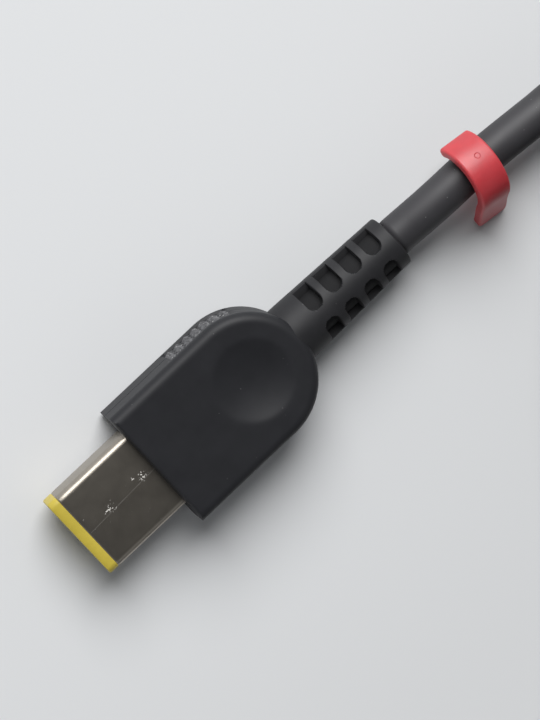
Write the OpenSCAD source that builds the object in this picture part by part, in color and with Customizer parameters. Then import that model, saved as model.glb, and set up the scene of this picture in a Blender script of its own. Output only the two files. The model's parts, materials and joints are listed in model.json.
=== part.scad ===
// Laptop power adapter: a two-shell block with its board, and an output lead wound into a tied
// bundle that ends in a slim rectangular plug. Millimetres, Z up. The origin is at the middle of
// the block's underside. X runs along the block, from the mains inlet to the lead's gland.

/* [Block] */
// Length of the block
case_l = 108; // [104:1:120]
// Width of the block
case_w = 46; // [44:1:60]
// Height of the block
case_h = 29.5; // [29:0.5:36]
// Thickness of the case wall
case_wall = 2.2; // [1.8:0.1:2.6]
// Radius of the four upright corners
corner_r = 8; // [5:0.5:11]
// Radius of the long and short edges
edge_r = 4; // [3:0.5:6]
// Height of the tongue where the shells join
tongue_h = 1.6; // [1:0.1:2.5]
// Width of the shadow gap between the shells
seam_gap = 0.3; // [0.2:0.1:0.6]

/* [Mains inlet] */
// Width of the inlet housing
inlet_w = 22; // [21:0.5:24]
// Height of the inlet housing
inlet_h = 18; // [17:0.5:19]
// Depth of the inlet housing
inlet_d = 19; // [17:0.5:20]
// Depth of the socket
socket_d = 14; // [12:0.5:15]
// Radius of each of the three lobes
lobe_r = 4.5; // [4.2:0.1:4.8]
// Distance between the live and neutral pins
pin_pitch = 8.7; // [8:0.1:9.2]
// Drop of the earth pin below the other two
earth_drop = 5; // [4.5:0.1:5.5]
// Radius of a pin
pin_r = 1.18; // [1:0.02:1.3]
// Length of a pin inside the socket
pin_l = 11; // [9:0.5:12]

/* [Board] */
// Thickness of the circuit board
board_t = 1.6; // [1:0.1:2]
// Height of the posts under the board
post_h = 3.2; // [2.8:0.1:4]
// Width of the X capacitor
x_cap_w = 8.6; // [7:0.2:9.4]
// Thickness of a heat sink
sink_t = 1.6; // [1:0.1:2]
// Radius of an output capacitor
out_cap_r = 4; // [3.15:0.05:4.5]
// Height of an output capacitor
out_cap_h = 15; // [11:0.5:18]

/* [Lead] */
// Diameter of the lead
lead_d = 4.8; // [4.4:0.1:5]
// Length of the gland's tail outside the block
gland_l = 26; // [20:1:30]
// Radius of the bundle at its outermost turn
coil_r = 32.6; // [32:0.1:34]
// Distance between neighbouring turns and layers
coil_pitch = 5.3; // [5.3:0.05:5.5]
// Number of turns in the bundle
coil_turns = 10.25; // [8.25:1:10.25]
// Thickness of a bundle tie
tie_t = 1.1; // [0.8:0.1:1.5]
// Angle that a bundle tie takes up round the bundle
tie_angle = 22; // [16:1:30]

/* [Plug] */
// Width of the metal shell
shell_w = 11; // [10.6:0.1:11.4]
// Thickness of the metal shell
shell_h = 4.5; // [4.2:0.1:4.8]
// Wall of the metal shell
shell_wall = 0.35; // [0.3:0.05:0.45]
// Length of the metal shell outside the grip
shell_l = 10.5; // [9:0.1:12]
// Length of the coloured rim in front of the shell
rim_l = 1.3; // [0.8:0.1:2]
// Wall of the insulating sleeve inside the shell
sleeve_wall = 0.3; // [0.25:0.05:0.35]
// Wall of the inner contact
contact_wall = 0.3; // [0.2:0.05:0.35]
// Radius of the centre pin
centre_pin_r = 0.45; // [0.4:0.05:0.55]
// Width of the grip
grip_w = 16.2; // [15.6:0.1:17.4]
// Thickness of the grip
grip_h = 7.8; // [7.4:0.1:8.2]
// Length of the grip
grip_l = 22.8; // [21.5:0.1:25]
// Radius of the grip's long edges
grip_edge_r = 1.1; // [0.6:0.1:1.4]
// Radius of the thumb dish
dish_r = 4.8; // [4:0.1:5.5]
// Depth of the thumb dish
dish_depth = 0.8; // [0.4:0.1:1]
// Length of the strain relief behind the grip
relief_l = 15.4; // [13:0.1:18]
// Radius of the strain relief at the grip
relief_r1 = 3.8; // [3.6:0.05:3.9]
// Radius of the strain relief at the lead
relief_r2 = 3.35; // [3.2:0.05:3.6]
// Width of a slot in the strain relief
slot_w = 2; // [1.5:0.1:2.1]
// Distance between slots
slot_pitch = 3.1; // [2.9:0.05:3.4]

/* [Lead clip] */
// Radius of the clip's ring outside
clip_r = 4.65; // [4.6:0.05:4.9]
// Thickness of the clip
clip_t = 1.25; // [1:0.05:1.3]
// Width of the clip along the lead
clip_w = 3.9; // [3:0.1:4]
// Angle of the ring from its top to its short end
clip_near = 98; // [90:1:110]
// Angle of the ring from its top to its straight arm
clip_far = 45; // [40:1:60]
// Length of the straight arm
clip_arm = 6.6; // [4:0.1:7]
// Angle that the clip leans along the lead
clip_lean = 9; // [0:1:10]
// Angle that the clip is turned across the lead
clip_turn = 9; // [0:1:10]
// Angle that the clip is rolled round the lead
clip_roll = 21; // [0:1:25]

/* [Hidden] */
$fn = 48;

// Clearances
fit_gap = 0.1;      // a part in its opening
skin_gap = 0.05;    // a moulding round the lead
eps = 0.01;         // overshoot of a cut

// Block
mid_z = case_h / 2;
inner_l = case_l - 2 * case_wall;
inner_w = case_w - 2 * case_wall;
inner_h = case_h - 2 * case_wall;
inner_top = case_h - case_wall;
end_x = case_l / 2;
inner_x = end_x - case_wall;

// Board
board_end_gap = 2.8;                   // to the case at the gland's end
board_inlet_gap = 2;
board_side_gap = 1.3;
board_z = case_wall + post_h;
board_top = board_z + board_t;
board_x1 = -end_x + inlet_d + board_inlet_gap;
board_x2 = inner_x - board_end_gap;
board_l = board_x2 - board_x1;
board_w = inner_w - 2 * board_side_gap;
board_mid = (board_x1 + board_x2) / 2;
post_r = 2.6;
post_dx = board_l / 2 - 4.5;
post_dy = board_w / 2 - 4;
peg_r = 1.2;
sheet_t = 0.4;
sheet_inset = 1.2;                     // clear of the case's rounded floor

// Inlet
inlet_x2 = -end_x + inlet_d;
inlet_shoulder = 1.2;
pin_z = mid_z + earth_drop / 2 - 0.5;
pin_places = [[-pin_pitch / 2, pin_z], [pin_pitch / 2, pin_z], [0, pin_z - earth_drop]];
socket_floor = -end_x + socket_d;
pin_x = socket_floor - pin_l + pin_r;  // centre of a pin's round nose
pin_tail = 1.5;                        // of a pin behind the inlet
wire_r = 1.1;
wire_bend = 2.2;

// Lead
lead_r = lead_d / 2;
gland_x1 = inner_x - 3.4;
gland_x2 = end_x + gland_l;
jacket_x = gland_x1 - 1.5;             // where the jacket is stripped back
gland_neck_r = 4.6;
gland_flange_r = 6.6;
gland_r1 = 5.4;
gland_r2 = 3.4;
coil_x = 81;
coil_y = 49.4;
coil_gap = 0.15;                       // between the bundle and its ties
coil_z = tie_t + coil_gap + lead_r + 0.1;
coil_layers = 4;
layer_turns = coil_turns / coil_layers;
coil_inner_r = coil_r - coil_pitch * layer_turns;
coil_top = coil_z + (coil_layers - 1) * coil_pitch;
steps_per_turn = 24;
coil_steps = round(coil_turns * steps_per_turn);
tie_places = [45, 225];

// Plug, along X with its tip towards -X
plug_y = 82;
plug_z = grip_h / 2;
tip_x = -15.2;
shell_x = tip_x + rim_l;
grip_x = shell_x + shell_l;
shell_x2 = grip_x + 6;
grip_r = grip_w / 2;
grip_x2 = grip_x + grip_l;
grip_mid = grip_x2 - grip_r;
dish_x = grip_mid + 0.35;
premould_x2 = grip_x + 15;
premould_w = 12.6;
premould_h = 5.4;
relief_x2 = grip_x2 + relief_l;
slot_first = 2.5;
slot_count = 4;
slot_depth_r = lead_r + 0.35;
spine = 15;                            // half the angle of the spine above and below
rib = 12;                              // half the angle of the rib along each flank
root_r = 2.8;
mouth_floor = tip_x + 11;
tag_l = 4;
tag_t = 0.4;
tag_w = 2.4;
core_r = 0.9;
core_gap_y = 1.25;
core_x1 = shell_x2 + tag_l;
shell_r = 0.9;
contact_r = 0.3;
mouth_r = 0.2;
sleeve_w = shell_w - 2 * shell_wall;
sleeve_h = shell_h - 2 * shell_wall;
contact_w = sleeve_w - 2 * sleeve_wall;
contact_h = sleeve_h - 2 * sleeve_wall;
mouth_w = contact_w - 2 * contact_wall;
mouth_h = contact_h - 2 * contact_wall;

// Clip
clip_x = 46.8;
clip_y = plug_y - 0.32;
clip_bore_r = clip_r - clip_t;
clip_end_r = 0.7;
arm_out = clip_bore_r * sin(clip_far) + clip_arm * cos(clip_far);
arm_up = clip_bore_r * cos(clip_far) - clip_arm * sin(clip_far);
clip_z = (arm_out * sin(clip_roll) - arm_up * cos(clip_roll)) * cos(clip_lean)
    + clip_w / 2 * sin(clip_lean);     // its arm stands on the floor

// Free runs of the lead, from one seated end to the other
lead_in = [
    [gland_x2, 0, mid_z], [gland_x2 + 5, 0, mid_z], [91, 1.5, 14.9], [98, 4.5, 15.5],
    [104, 9.5, 16.4], [108.5, 15.5, 17.4], [111.5, 22, 18.5], [113, 29, 19.2],
    [coil_x + coil_r, 36, coil_top], [coil_x + coil_r, coil_y - lead_d, coil_top],
];
lead_out = [
    [relief_x2, plug_y, plug_z], [relief_x2 + 1, plug_y, plug_z], [38, plug_y, 4.3],
    [40, plug_y, 4.7], [42.5, plug_y, 4.95], [46, plug_y, 5], [50, 81.9, 5],
    [55, 81.5, 5], [60, 81.1, 4.8], [65, 81.2, 4.4], [70, 81.7, 4],
    [74.5, plug_y, coil_z], [coil_x - lead_d, plug_y, coil_z],
];

function unit(v) = v / norm(v);
function tangent(p, i) = unit(p[min(i + 1, len(p) - 1)] - p[max(i - 1, 0)]);
function ring(p, i, r, sides) =
    let (t = tangent(p, i), side = unit(cross(t, [0, 0, 1])), up = cross(side, t))
    [for (k = [0:sides - 1]) p[i] + r * (cos(360 * k / sides) * side + sin(360 * k / sides) * up)];

// Round tube through the points p, closed at both ends
module tube(p, r, sides) {
    n = len(p);
    last = (n - 1) * sides;
    skin = [for (i = [0:n - 1]) each ring(p, i, r, sides)];
    walls = [for (i = [0:n - 2], k = [0:sides - 1])
        let (a = i * sides + k, b = i * sides + (k + 1) % sides)
        each [[a, a + sides, b], [b, a + sides, b + sides]]];
    near = [for (k = [1:sides - 2]) [0, k, k + 1]];
    far = [for (k = [1:sides - 2]) [last, last + k + 1, last + k]];
    polyhedron(skin, concat(walls, near, far));
}

// The bundle: turns spiral in and out in layers, and climb a layer where the spiral reverses
function swing(a) = abs(a - 2 * floor(a / 2 + 0.5));
function coil_radius(turn) = coil_r - (coil_r - coil_inner_r) * swing(turn / layer_turns);
function ramp(x) = let (u = min(max(x, 0), 1)) u * u * (3 - 2 * u);
function climbs(turn, k = 1) = k >= coil_layers ? 0
    : ramp((turn - k * layer_turns) / 0.5 + 0.5) + climbs(turn, k + 1);
function coil_point(turn) =
    let (a = 90 - 360 * turn, r = coil_radius(turn))
    [coil_x + r * cos(a), coil_y + r * sin(a), coil_z + coil_pitch * climbs(turn)];
coil_body = [for (i = [0:coil_steps]) coil_point(coil_turns * i / coil_steps)];
coil_path = concat(
    [[coil_x - lead_d, coil_y + coil_r, coil_z]], coil_body,
    [[coil_x + coil_r, coil_y - lead_d, coil_top]]);

// Least gap between stretches of the bundle that are at least a third of a turn apart
away = steps_per_turn / 3;
coil_self_gap = min([for (i = [0:coil_steps - away]) min([for (j = [i + away:coil_steps])
    norm(coil_body[i] - coil_body[j])])]) - lead_d;
echo(bundle_least_gap = coil_self_gap);

module rounded_rect(w, h, r) {
    square([w - 2 * r, h], center = true);
    square([w, h - 2 * r], center = true);
    for (x = [-1, 1], y = [-1, 1])
        translate([x * (w / 2 - r), y * (h / 2 - r)]) circle(r);
}

// Bar along X with a rounded section
module rounded_bar(l, w, h, r) {
    rotate([90, 0, 90]) linear_extrude(l) rounded_rect(w, h, r);
}

// Box with rounded upright corners and rounded edges, standing on its middle
module soft_box(l, w, h, r_up, r_edge) {
    intersection() {
        translate([0, 0, -h / 2]) linear_extrude(h) rounded_rect(l, w, r_up);
        translate([-l / 2, 0, 0]) rounded_bar(l, w, h, r_edge);
        translate([0, w / 2, 0]) rotate([90, 0, 0]) linear_extrude(w) rounded_rect(l, h, r_edge);
    }
}

module rod(p, dir, r, l) {
    translate(p) rotate(dir == "x" ? [0, 90, 0] : dir == "y" ? [-90, 0, 0] : [0, 0, 0])
        cylinder(r = r, h = l);
}

// Block from low corner to size
module brick(x, y, z, l, w, h) {
    translate([x, y, z]) cube([l, w, h]);
}

// ---- block ----

module case_outside() {
    translate([0, 0, mid_z]) soft_box(case_l, case_w, case_h, corner_r, edge_r);
}

module case_inside(grow = 0) {
    translate([0, 0, mid_z])
        soft_box(inner_l + 2 * grow, inner_w + 2 * grow, inner_h + 2 * grow,
                 corner_r - case_wall + grow, edge_r - case_wall + grow);
}

module below(z) {
    brick(-case_l, -case_w, z - 2 * case_h, 2 * case_l, 2 * case_w, 2 * case_h);
}

module above(z) {
    brick(-case_l, -case_w, z, 2 * case_l, 2 * case_w, 2 * case_h);
}

module end_openings() {
    brick(-end_x - 1, -inlet_w / 2 - fit_gap, mid_z - inlet_h / 2 - fit_gap,
          case_wall + 2, inlet_w + 2 * fit_gap, inlet_h + 2 * fit_gap);
    rod([inner_x - 1, 0, mid_z], "x", gland_neck_r + fit_gap, case_wall + 2);
}

module board_posts() {
    for (x = [-1, 1], y = [-1, 1])
        translate([board_mid + x * post_dx, y * post_dy, case_wall - eps]) {
            cylinder(r = post_r, h = post_h + eps);
            cylinder(r = peg_r, h = post_h + board_t - fit_gap);
        }
}

module case_bottom() {
    color([0.12, 0.12, 0.13]) difference() {
        union() {
            difference() {
                case_outside();
                above(mid_z - seam_gap / 2);
            }
            intersection() {
                case_inside(case_wall / 2 - fit_gap);
                below(mid_z + tongue_h);
                above(mid_z - seam_gap);
            }
            board_posts();
        }
        difference() {
            case_inside();
            board_posts();
        }
        end_openings();
    }
}

module case_top() {
    color([0.12, 0.12, 0.13]) difference() {
        case_outside();
        below(mid_z + seam_gap / 2);
        case_inside();
        intersection() {
            case_inside(case_wall / 2);
            below(mid_z + tongue_h + fit_gap);
        }
        end_openings();
        rod([led_x, led_y, inner_top - 1], "z", pipe_r + skin_gap, case_wall + 2);
    }
}

module socket_shape(r) {
    for (p = pin_places)
        rod([-end_x - 1, p[0], p[1]], "x", r, socket_d + 1);
    rod([-end_x - 1, 0, pin_z - earth_drop * 0.35], "x", r * 0.82, socket_d + 1);
}

module mains_inlet() {
    color([0.05, 0.05, 0.06]) difference() {
        union() {
            translate([-end_x, 0, mid_z]) rounded_bar(inlet_d, inlet_w, inlet_h, 1.5);
            translate([-inner_x, 0, mid_z])
                rounded_bar(1.6, inlet_w + 2 * inlet_shoulder, inlet_h + 2 * inlet_shoulder, 2);
        }
        socket_shape(lobe_r);
        for (p = pin_places)
            rod([socket_floor - 1, p[0], p[1]], "x", pin_r, inlet_d);
    }
}

module inlet_pins() {
    color([0.72, 0.7, 0.66]) for (p = pin_places) {
        rod([pin_x, p[0], p[1]], "x", pin_r, inlet_x2 + pin_tail - pin_x);
        translate([pin_x, p[0], p[1]]) sphere(pin_r);
    }
}

// Wire from a pin's tail, back and then down to the board
module inlet_wire(y, z) {
    x = inlet_x2 + pin_tail;
    rod([x, y, z], "x", wire_r, 1);
    translate([x + 1, y, z - wire_bend]) rotate([90, 0, 0])
        rotate_extrude(angle = 90) translate([wire_bend, 0]) circle(wire_r);
    rod([x + 1 + wire_bend, y, board_top], "z", wire_r, z - wire_bend - board_top);
}

module live_wire() {
    color([0.42, 0.22, 0.1]) inlet_wire(pin_places[0][0], pin_places[0][1]);
}

module neutral_wire() {
    color([0.1, 0.25, 0.6]) inlet_wire(pin_places[1][0], pin_places[1][1]);
}

module earth_wire() {
    color([0.55, 0.65, 0.1]) inlet_wire(pin_places[2][0], pin_places[2][1]);
}

module insulation_sheet() {
    color([0.9, 0.88, 0.8]) difference() {
        brick(board_x1 + sheet_inset, -board_w / 2 + sheet_inset, case_wall,
              board_l - 2 * sheet_inset, board_w - 2 * sheet_inset, sheet_t);
        for (x = [-1, 1], y = [-1, 1])
            rod([board_mid + x * post_dx, y * post_dy, 0], "z", post_r + fit_gap, case_h);
    }
}

module circuit_board() {
    color([0.1, 0.35, 0.2]) difference() {
        brick(board_x1, -board_w / 2, board_z, board_l, board_w, board_t);
        for (x = [-1, 1], y = [-1, 1])
            rod([board_mid + x * post_dx, y * post_dy, 0], "z", peg_r + fit_gap, case_h);
    }
}

// ---- parts on the board ----
// The inlet's side is placed from the board's inlet end, the output side from its other end, and
// the bulk capacitor and the transformer take up what lies between.

lid_gap = 2.3;                         // over the tall parts
tall_h = inner_top - lid_gap - board_top;
lane_w = (board_w - x_cap_w) / 2;      // on each side of the X capacitor
lane_y = (x_cap_w + lane_w) / 2;
lane_gap = 0.3;
fuse_l = 8;
fuse_h = 8;
bridge_x = board_x1 + 23.6;
bridge_t = 4;
bridge_h = 11;
x_cap_l = 17.5;
x_cap_h = 14;
disc_y = x_cap_w / 2 + (lane_w - 2.6) / 2;
varistor_r = lane_w / 2 - 2;
thermistor_r = lane_w / 2 - 3.2;

// Disc part standing on the board, its flat sides towards the inlet and the gland
module disc_part(x, y, r, t) {
    rod([board_x1 + x, y, board_top + r], "x", r, t);
}

module fuse() {
    color([0.85, 0.82, 0.7]) brick(board_x1 + 1.5, -lane_y - fuse_l / 2, board_top, 4, fuse_l, fuse_h);
}

module varistor() {
    color([0.1, 0.3, 0.65]) disc_part(5.5, disc_y, varistor_r, 4.4);
}

module inrush_thermistor() {
    color([0.15, 0.2, 0.15]) disc_part(12, disc_y, thermistor_r, 3.8);
}

module x_capacitor() {
    color([0.85, 0.7, 0.15]) brick(board_x1 + 7.5, -x_cap_w / 2, board_top, x_cap_l, x_cap_w, x_cap_h);
}

winding_t = 0.9;
choke_r = lane_w / 2 - winding_t - lane_gap;
choke_hole_r = choke_r / 2;
choke_h = 7;
choke_x = board_x1 + 14.5;
choke_y = -lane_y;

module choke_section(grow) {
    translate([choke_hole_r - grow, winding_t - grow])
        square([choke_r - choke_hole_r + 2 * grow, choke_h + 2 * grow]);
}

module noise_choke_core() {
    color([0.25, 0.25, 0.26]) translate([choke_x, choke_y, board_top])
        rotate_extrude() choke_section(0);
}

module noise_choke_windings() {
    color([0.72, 0.4, 0.15]) translate([choke_x, choke_y, board_top])
        for (a = [-65, 115]) rotate([0, 0, a]) rotate_extrude(angle = 130) difference() {
            choke_section(winding_t);
            choke_section(0);
        }
}

module bridge_rectifier() {
    color([0.1, 0.1, 0.1]) brick(bridge_x, 1 - board_w / 2, board_top, bridge_t, lane_w - 2, bridge_h);
}

sink2_x = board_x2 - 21;
bulk_r = tall_h / 2;
bulk_x = board_x1 + 29;
bulk_y = -board_w / 2 + bulk_r;
bulk_l = sink2_x - 3 - bulk_x;

module bulk_capacitor() {
    color([0.08, 0.1, 0.2]) difference() {
        rod([bulk_x, bulk_y, board_top + bulk_r], "x", bulk_r, bulk_l);
        translate([bulk_x + 2.5, bulk_y, board_top + bulk_r]) rotate([0, 90, 0])
            rotate_extrude() translate([bulk_r + 0.4, 0]) circle(0.9);
    }
}

shield_t = 0.3;
pad_h = 1.6;                           // thermal pad between the core and the shield
bobbin_w = board_w - 2 * bulk_r - 4;
core_x = bulk_x + 2;
core_y = board_w / 2 - 1.5 - bobbin_w / 2;
core_z = board_top;
core_l = sink2_x - 5 - core_x;
core_w = bobbin_w - 7;
core_h = inner_top - shield_t - pad_h - board_top;
core_post = core_l / 3;
core_leg = core_post / 2;
core_window = core_leg;
core_plate = 4;
window_h = core_h - 2 * core_plate;
flange_t = 1;

module core_windows() {
    for (x = [core_leg, core_leg + core_window + core_post])
        brick(core_x + x, core_y - core_w, core_z + core_plate, core_window, 2 * core_w, window_h);
}

// Two ferrite halves, one on the other
module transformer_core() {
    color([0.2, 0.2, 0.21]) difference() {
        brick(core_x, core_y - core_w / 2, core_z, core_l, core_w, core_h);
        core_windows();
        brick(core_x - 1, core_y - core_w, core_z + core_h / 2 - 0.04, core_l + 2, 2 * core_w, 0.08);
    }
}

// Block round the core's middle post, l wide and w deep
module round_post(l, w, z, h) {
    brick(core_x + core_l / 2 - l / 2, core_y - w / 2, core_z + core_plate + z, l, w, h);
}

module post_hole() {
    round_post(core_post + 2 * skin_gap, core_w + 2 * skin_gap, -1, window_h + 2);
}

module transformer_bobbin() {
    span = core_post + 2 * core_window - 2 * fit_gap;
    color([0.12, 0.12, 0.12]) difference() {
        union() {
            round_post(span, bobbin_w, skin_gap, flange_t);
            round_post(span, bobbin_w, window_h - flange_t - skin_gap, flange_t);
            round_post(core_post + 1.6, core_w + 1.6, skin_gap, window_h - 2 * skin_gap);
        }
        post_hole();
    }
}

module transformer_winding() {
    h = window_h - 2 * flange_t - 2 * skin_gap;
    color([0.9, 0.75, 0.2]) difference() {
        round_post(core_post + 2 * core_window - 0.6, bobbin_w - 1, skin_gap + flange_t, h);
        round_post(core_post + 1.6, core_w + 1.6, 0, window_h);
    }
}

sink_h = tall_h;
sink_y = board_w / 2 - sink_t - 0.6;
sink1_x = board_x1 + 11;
sink1_l = 19;
tab_w = 10;
tab_h = sink_h - 3;
tab_t = 4.4;
tab_z = board_top + 1;
pad_t = 0.3;
pad_edge = 0.5;
screw_r = 1.4;
screw_hole_r = screw_r + skin_gap;
screw_z = tab_z + tab_h - 2.5;
switch_x = board_x1 + 18;
switch_mid = switch_x + tab_w / 2;
switch_y = sink_y - pad_t - tab_t;
rectifier_x = sink2_x + sink_t + pad_t;
rectifier_y = board_w / 2 - 10.5;

module primary_heat_sink() {
    color([0.8, 0.8, 0.82]) difference() {
        brick(sink1_x, sink_y, board_top, sink1_l, sink_t, sink_h);
        rod([switch_mid, sink_y - 1, screw_z], "y", screw_hole_r, sink_t + 2);
    }
}

module switching_transistor() {
    color([0.1, 0.1, 0.1]) difference() {
        brick(switch_x, switch_y, tab_z, tab_w, tab_t, tab_h);
        rod([switch_mid, switch_y - 1, screw_z], "y", screw_hole_r, tab_t + 2);
    }
}

module secondary_heat_sink() {
    color([0.8, 0.8, 0.82]) difference() {
        brick(sink2_x, -board_w / 2 + 1.5, board_top, sink_t, board_w - 3, sink_h);
        rod([sink2_x - 1, rectifier_y, screw_z], "x", screw_hole_r, sink_t + 2);
    }
}

module output_rectifier() {
    color([0.1, 0.1, 0.1]) difference() {
        brick(rectifier_x, rectifier_y - tab_w / 2, tab_z, tab_t, tab_w, tab_h);
        rod([rectifier_x - 1, rectifier_y, screw_z], "x", screw_hole_r, tab_t + 2);
    }
}

module insulator_pads() {
    pad_w = tab_w + 2 * pad_edge;
    color([0.75, 0.78, 0.82]) {
        difference() {
            brick(switch_mid - pad_w / 2, sink_y - pad_t, tab_z, pad_w, pad_t, tab_h + pad_edge);
            rod([switch_mid, sink_y - 1, screw_z], "y", screw_hole_r, 2);
        }
        difference() {
            brick(rectifier_x - pad_t, rectifier_y - pad_w / 2, tab_z,
                  pad_t, pad_w, tab_h + pad_edge);
            rod([rectifier_x - 1, rectifier_y, screw_z], "x", screw_hole_r, 2);
        }
    }
}

// Screw with its head on the tab, towards +Z
module sink_screw(grip) {
    translate([0, 0, -grip]) cylinder(r = screw_r, h = grip);
    difference() {
        cylinder(r = 2.6, h = 1.5);
        translate([0, 0, 1]) brick(-3, -0.4, 0, 6, 0.8, 1);
        translate([0, 0, 1]) brick(-0.4, -3, 0, 0.8, 6, 1);
    }
}

module sink_screws() {
    grip = sink_t + pad_t + tab_t;
    color([0.6, 0.6, 0.62]) {
        translate([switch_mid, switch_y, screw_z]) rotate([90, 0, 0]) sink_screw(grip);
        translate([sink2_x + grip, rectifier_y, screw_z]) rotate([0, 90, 0]) sink_screw(grip);
    }
}

module y_capacitor() {
    color([0.15, 0.35, 0.7]) disc_part(sink2_x - 3.8 - board_x1, lane_y - 3.4, 3.6, 2.8);
}

module optocoupler() {
    color([0.92, 0.92, 0.9]) brick(board_x2 - 13.5, opto_y, board_top, 6.4, 4.6, 3.4);
}

module controller_chip() {
    color([0.08, 0.08, 0.08]) brick(board_x1 + 24, -2, board_z - 1.4, 5, 4, 1.4);
}

module surface_parts() {
    color([0.6, 0.55, 0.45]) for (x = [bulk_x + 5:5:sink2_x + 5], y = [-5, 3])
        brick(x, y, board_z - 0.8, 2, 1.2, 0.8);
}

cap_y = board_w / 2 - out_cap_r - 2.5;
cap_x1 = board_x2 - 14.1;
cap_x2 = board_x2 - 4.6;
out_choke_r = 3.9;
out_choke_y = -(cap_y - out_cap_r - out_choke_r - 0.9);
opto_y = out_choke_y + out_choke_r + 1.1;

module output_capacitors() {
    color([0.15, 0.25, 0.2]) for (p = [[cap_x1, -cap_y], [cap_x2, -cap_y], [cap_x2, cap_y]])
        rod([p[0], p[1], board_top], "z", out_cap_r, out_cap_h);
}

module output_choke() {
    color([0.3, 0.28, 0.27]) translate([board_x2 - 10, out_choke_y, board_top]) {
        cylinder(r = out_choke_r, h = 1.4);
        cylinder(r = out_choke_r - 0.7, h = 9);
        translate([0, 0, 8]) cylinder(r = out_choke_r, h = 1.4);
    }
}

led_x = board_x2 - 10.5;
led_y = 9;
led_h = 1;
pipe_r = 1.2;

module status_led() {
    color([0.95, 0.95, 0.85]) brick(led_x - 1, led_y - 0.7, board_top, 2, 1.4, led_h);
}

module light_pipe() {
    color([0.85, 0.95, 0.9])
        rod([led_x, led_y, board_top + led_h], "z", pipe_r, case_h - board_top - led_h);
}

module shield_plate() {
    color([0.8, 0.55, 0.35])
        brick(core_x - 6, -inner_w / 2 + 3, inner_top - shield_t,
              core_l + 10, inner_w - 6, shield_t);
}

module thermal_pad() {
    color([0.6, 0.65, 0.7])
        brick(core_x + 1, core_y - core_w / 2, core_z + core_h, core_l - 2, core_w, pad_h);
}

// ---- lead ----

// Tapered sleeve along +X with slots on both flanks; the spines are at its top and bottom
module slotted_relief(l, r1, r2, count, first, pitch, w, floor_r) {
    difference() {
        rotate([0, 90, 0]) cylinder(r1 = r1, r2 = r2, h = l);
        for (i = [0:count - 1], from = [spine, 90 + rib, 180 + spine, 270 + rib])
            translate([first + i * pitch, 0, 0]) rotate([0, 90, 0]) rotate([0, 0, from])
                rotate_extrude(angle = 90 - spine - rib) translate([floor_r, 0]) square([r1, w]);
    }
}

module lead_gland() {
    color([0.1, 0.1, 0.11]) difference() {
        union() {
            rod([gland_x1, 0, mid_z], "x", gland_flange_r, inner_x - gland_x1 - skin_gap);
            rod([gland_x1, 0, mid_z], "x", gland_neck_r, end_x - gland_x1 + skin_gap);
            translate([end_x + skin_gap, 0, mid_z])
                slotted_relief(gland_l - skin_gap, gland_r1, gland_r2, 6, 3.2, 3.6, 2, lead_r + 0.6);
        }
        rod([gland_x1 - 1, 0, mid_z], "x", lead_r + skin_gap, gland_x2 - gland_x1 + 2);
    }
}

module lead_block_end() {
    color([0.08, 0.08, 0.09])
        rod([jacket_x, 0, mid_z], "x", lead_r, gland_x2 - jacket_x);
}

module output_wires() {
    x = jacket_x - 0.6;
    color([0.6, 0.1, 0.1]) for (y = [-core_gap_y, core_gap_y]) {
        rod([x, y, mid_z], "x", core_r, jacket_x - x);
        translate([x, y, mid_z - wire_bend]) rotate([90, 0, 0]) rotate([0, 0, 90])
            rotate_extrude(angle = 90) translate([wire_bend, 0]) circle(core_r);
        rod([x - wire_bend, y, board_top], "z", core_r, mid_z - wire_bend - board_top);
    }
}

module lead_from_block() {
    color([0.08, 0.08, 0.09]) tube(lead_in, lead_r, 12);
}

module lead_bundle() {
    color([0.08, 0.08, 0.09]) tube(coil_path, lead_r, 6);
}

module lead_to_plug() {
    color([0.08, 0.08, 0.09]) tube(lead_out, lead_r, 12);
}

// Flat strap once round the bundle's section
module bundle_ties() {
    w = coil_r - coil_inner_r + lead_d + 2 * coil_gap;
    h = coil_top - coil_z + lead_d + 2 * coil_gap;
    mid_r = (coil_r + coil_inner_r) / 2;
    color([0.05, 0.05, 0.06]) for (a = tie_places)
        translate([coil_x, coil_y, (coil_top + coil_z) / 2]) rotate([0, 0, a - tie_angle / 2])
            rotate_extrude(angle = tie_angle) translate([mid_r, 0]) difference() {
                rounded_rect(w + 2 * tie_t, h + 2 * tie_t, lead_r / 2 + tie_t);
                rounded_rect(w, h, lead_r / 2);
            }
}

module lead_plug_end() {
    color([0.08, 0.08, 0.09])
        rod([premould_x2, plug_y, plug_z], "x", lead_r, relief_x2 - premould_x2);
}

// ---- plug ----

module plug_strain_relief() {
    color([0.1, 0.1, 0.11]) translate([0, plug_y, plug_z]) difference() {
        union() {
            rod([premould_x2, 0, 0], "x", root_r, grip_x2 - premould_x2 + 1);
            translate([grip_x2 - 1, 0, 0])
                slotted_relief(relief_l + 1, relief_r1, relief_r2, slot_count, slot_first + 1,
                               slot_pitch, slot_w, slot_depth_r);
        }
        rod([premould_x2 - 1, 0, 0], "x", lead_r + skin_gap, relief_x2 - premould_x2 + 2);
    }
}

module grip_section() {
    rounded_rect(grip_w, grip_h, grip_edge_r);
}

module grip_outside() {
    translate([grip_x, plug_y, plug_z]) rounded_bar(grip_mid - grip_x, grip_w, grip_h, grip_edge_r);
    translate([grip_mid, plug_y, plug_z]) rotate([0, 0, -90]) rotate_extrude(angle = 180)
        intersection() {
            grip_section();
            translate([0, -grip_h]) square([grip_w, 2 * grip_h]);
        }
}

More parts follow.
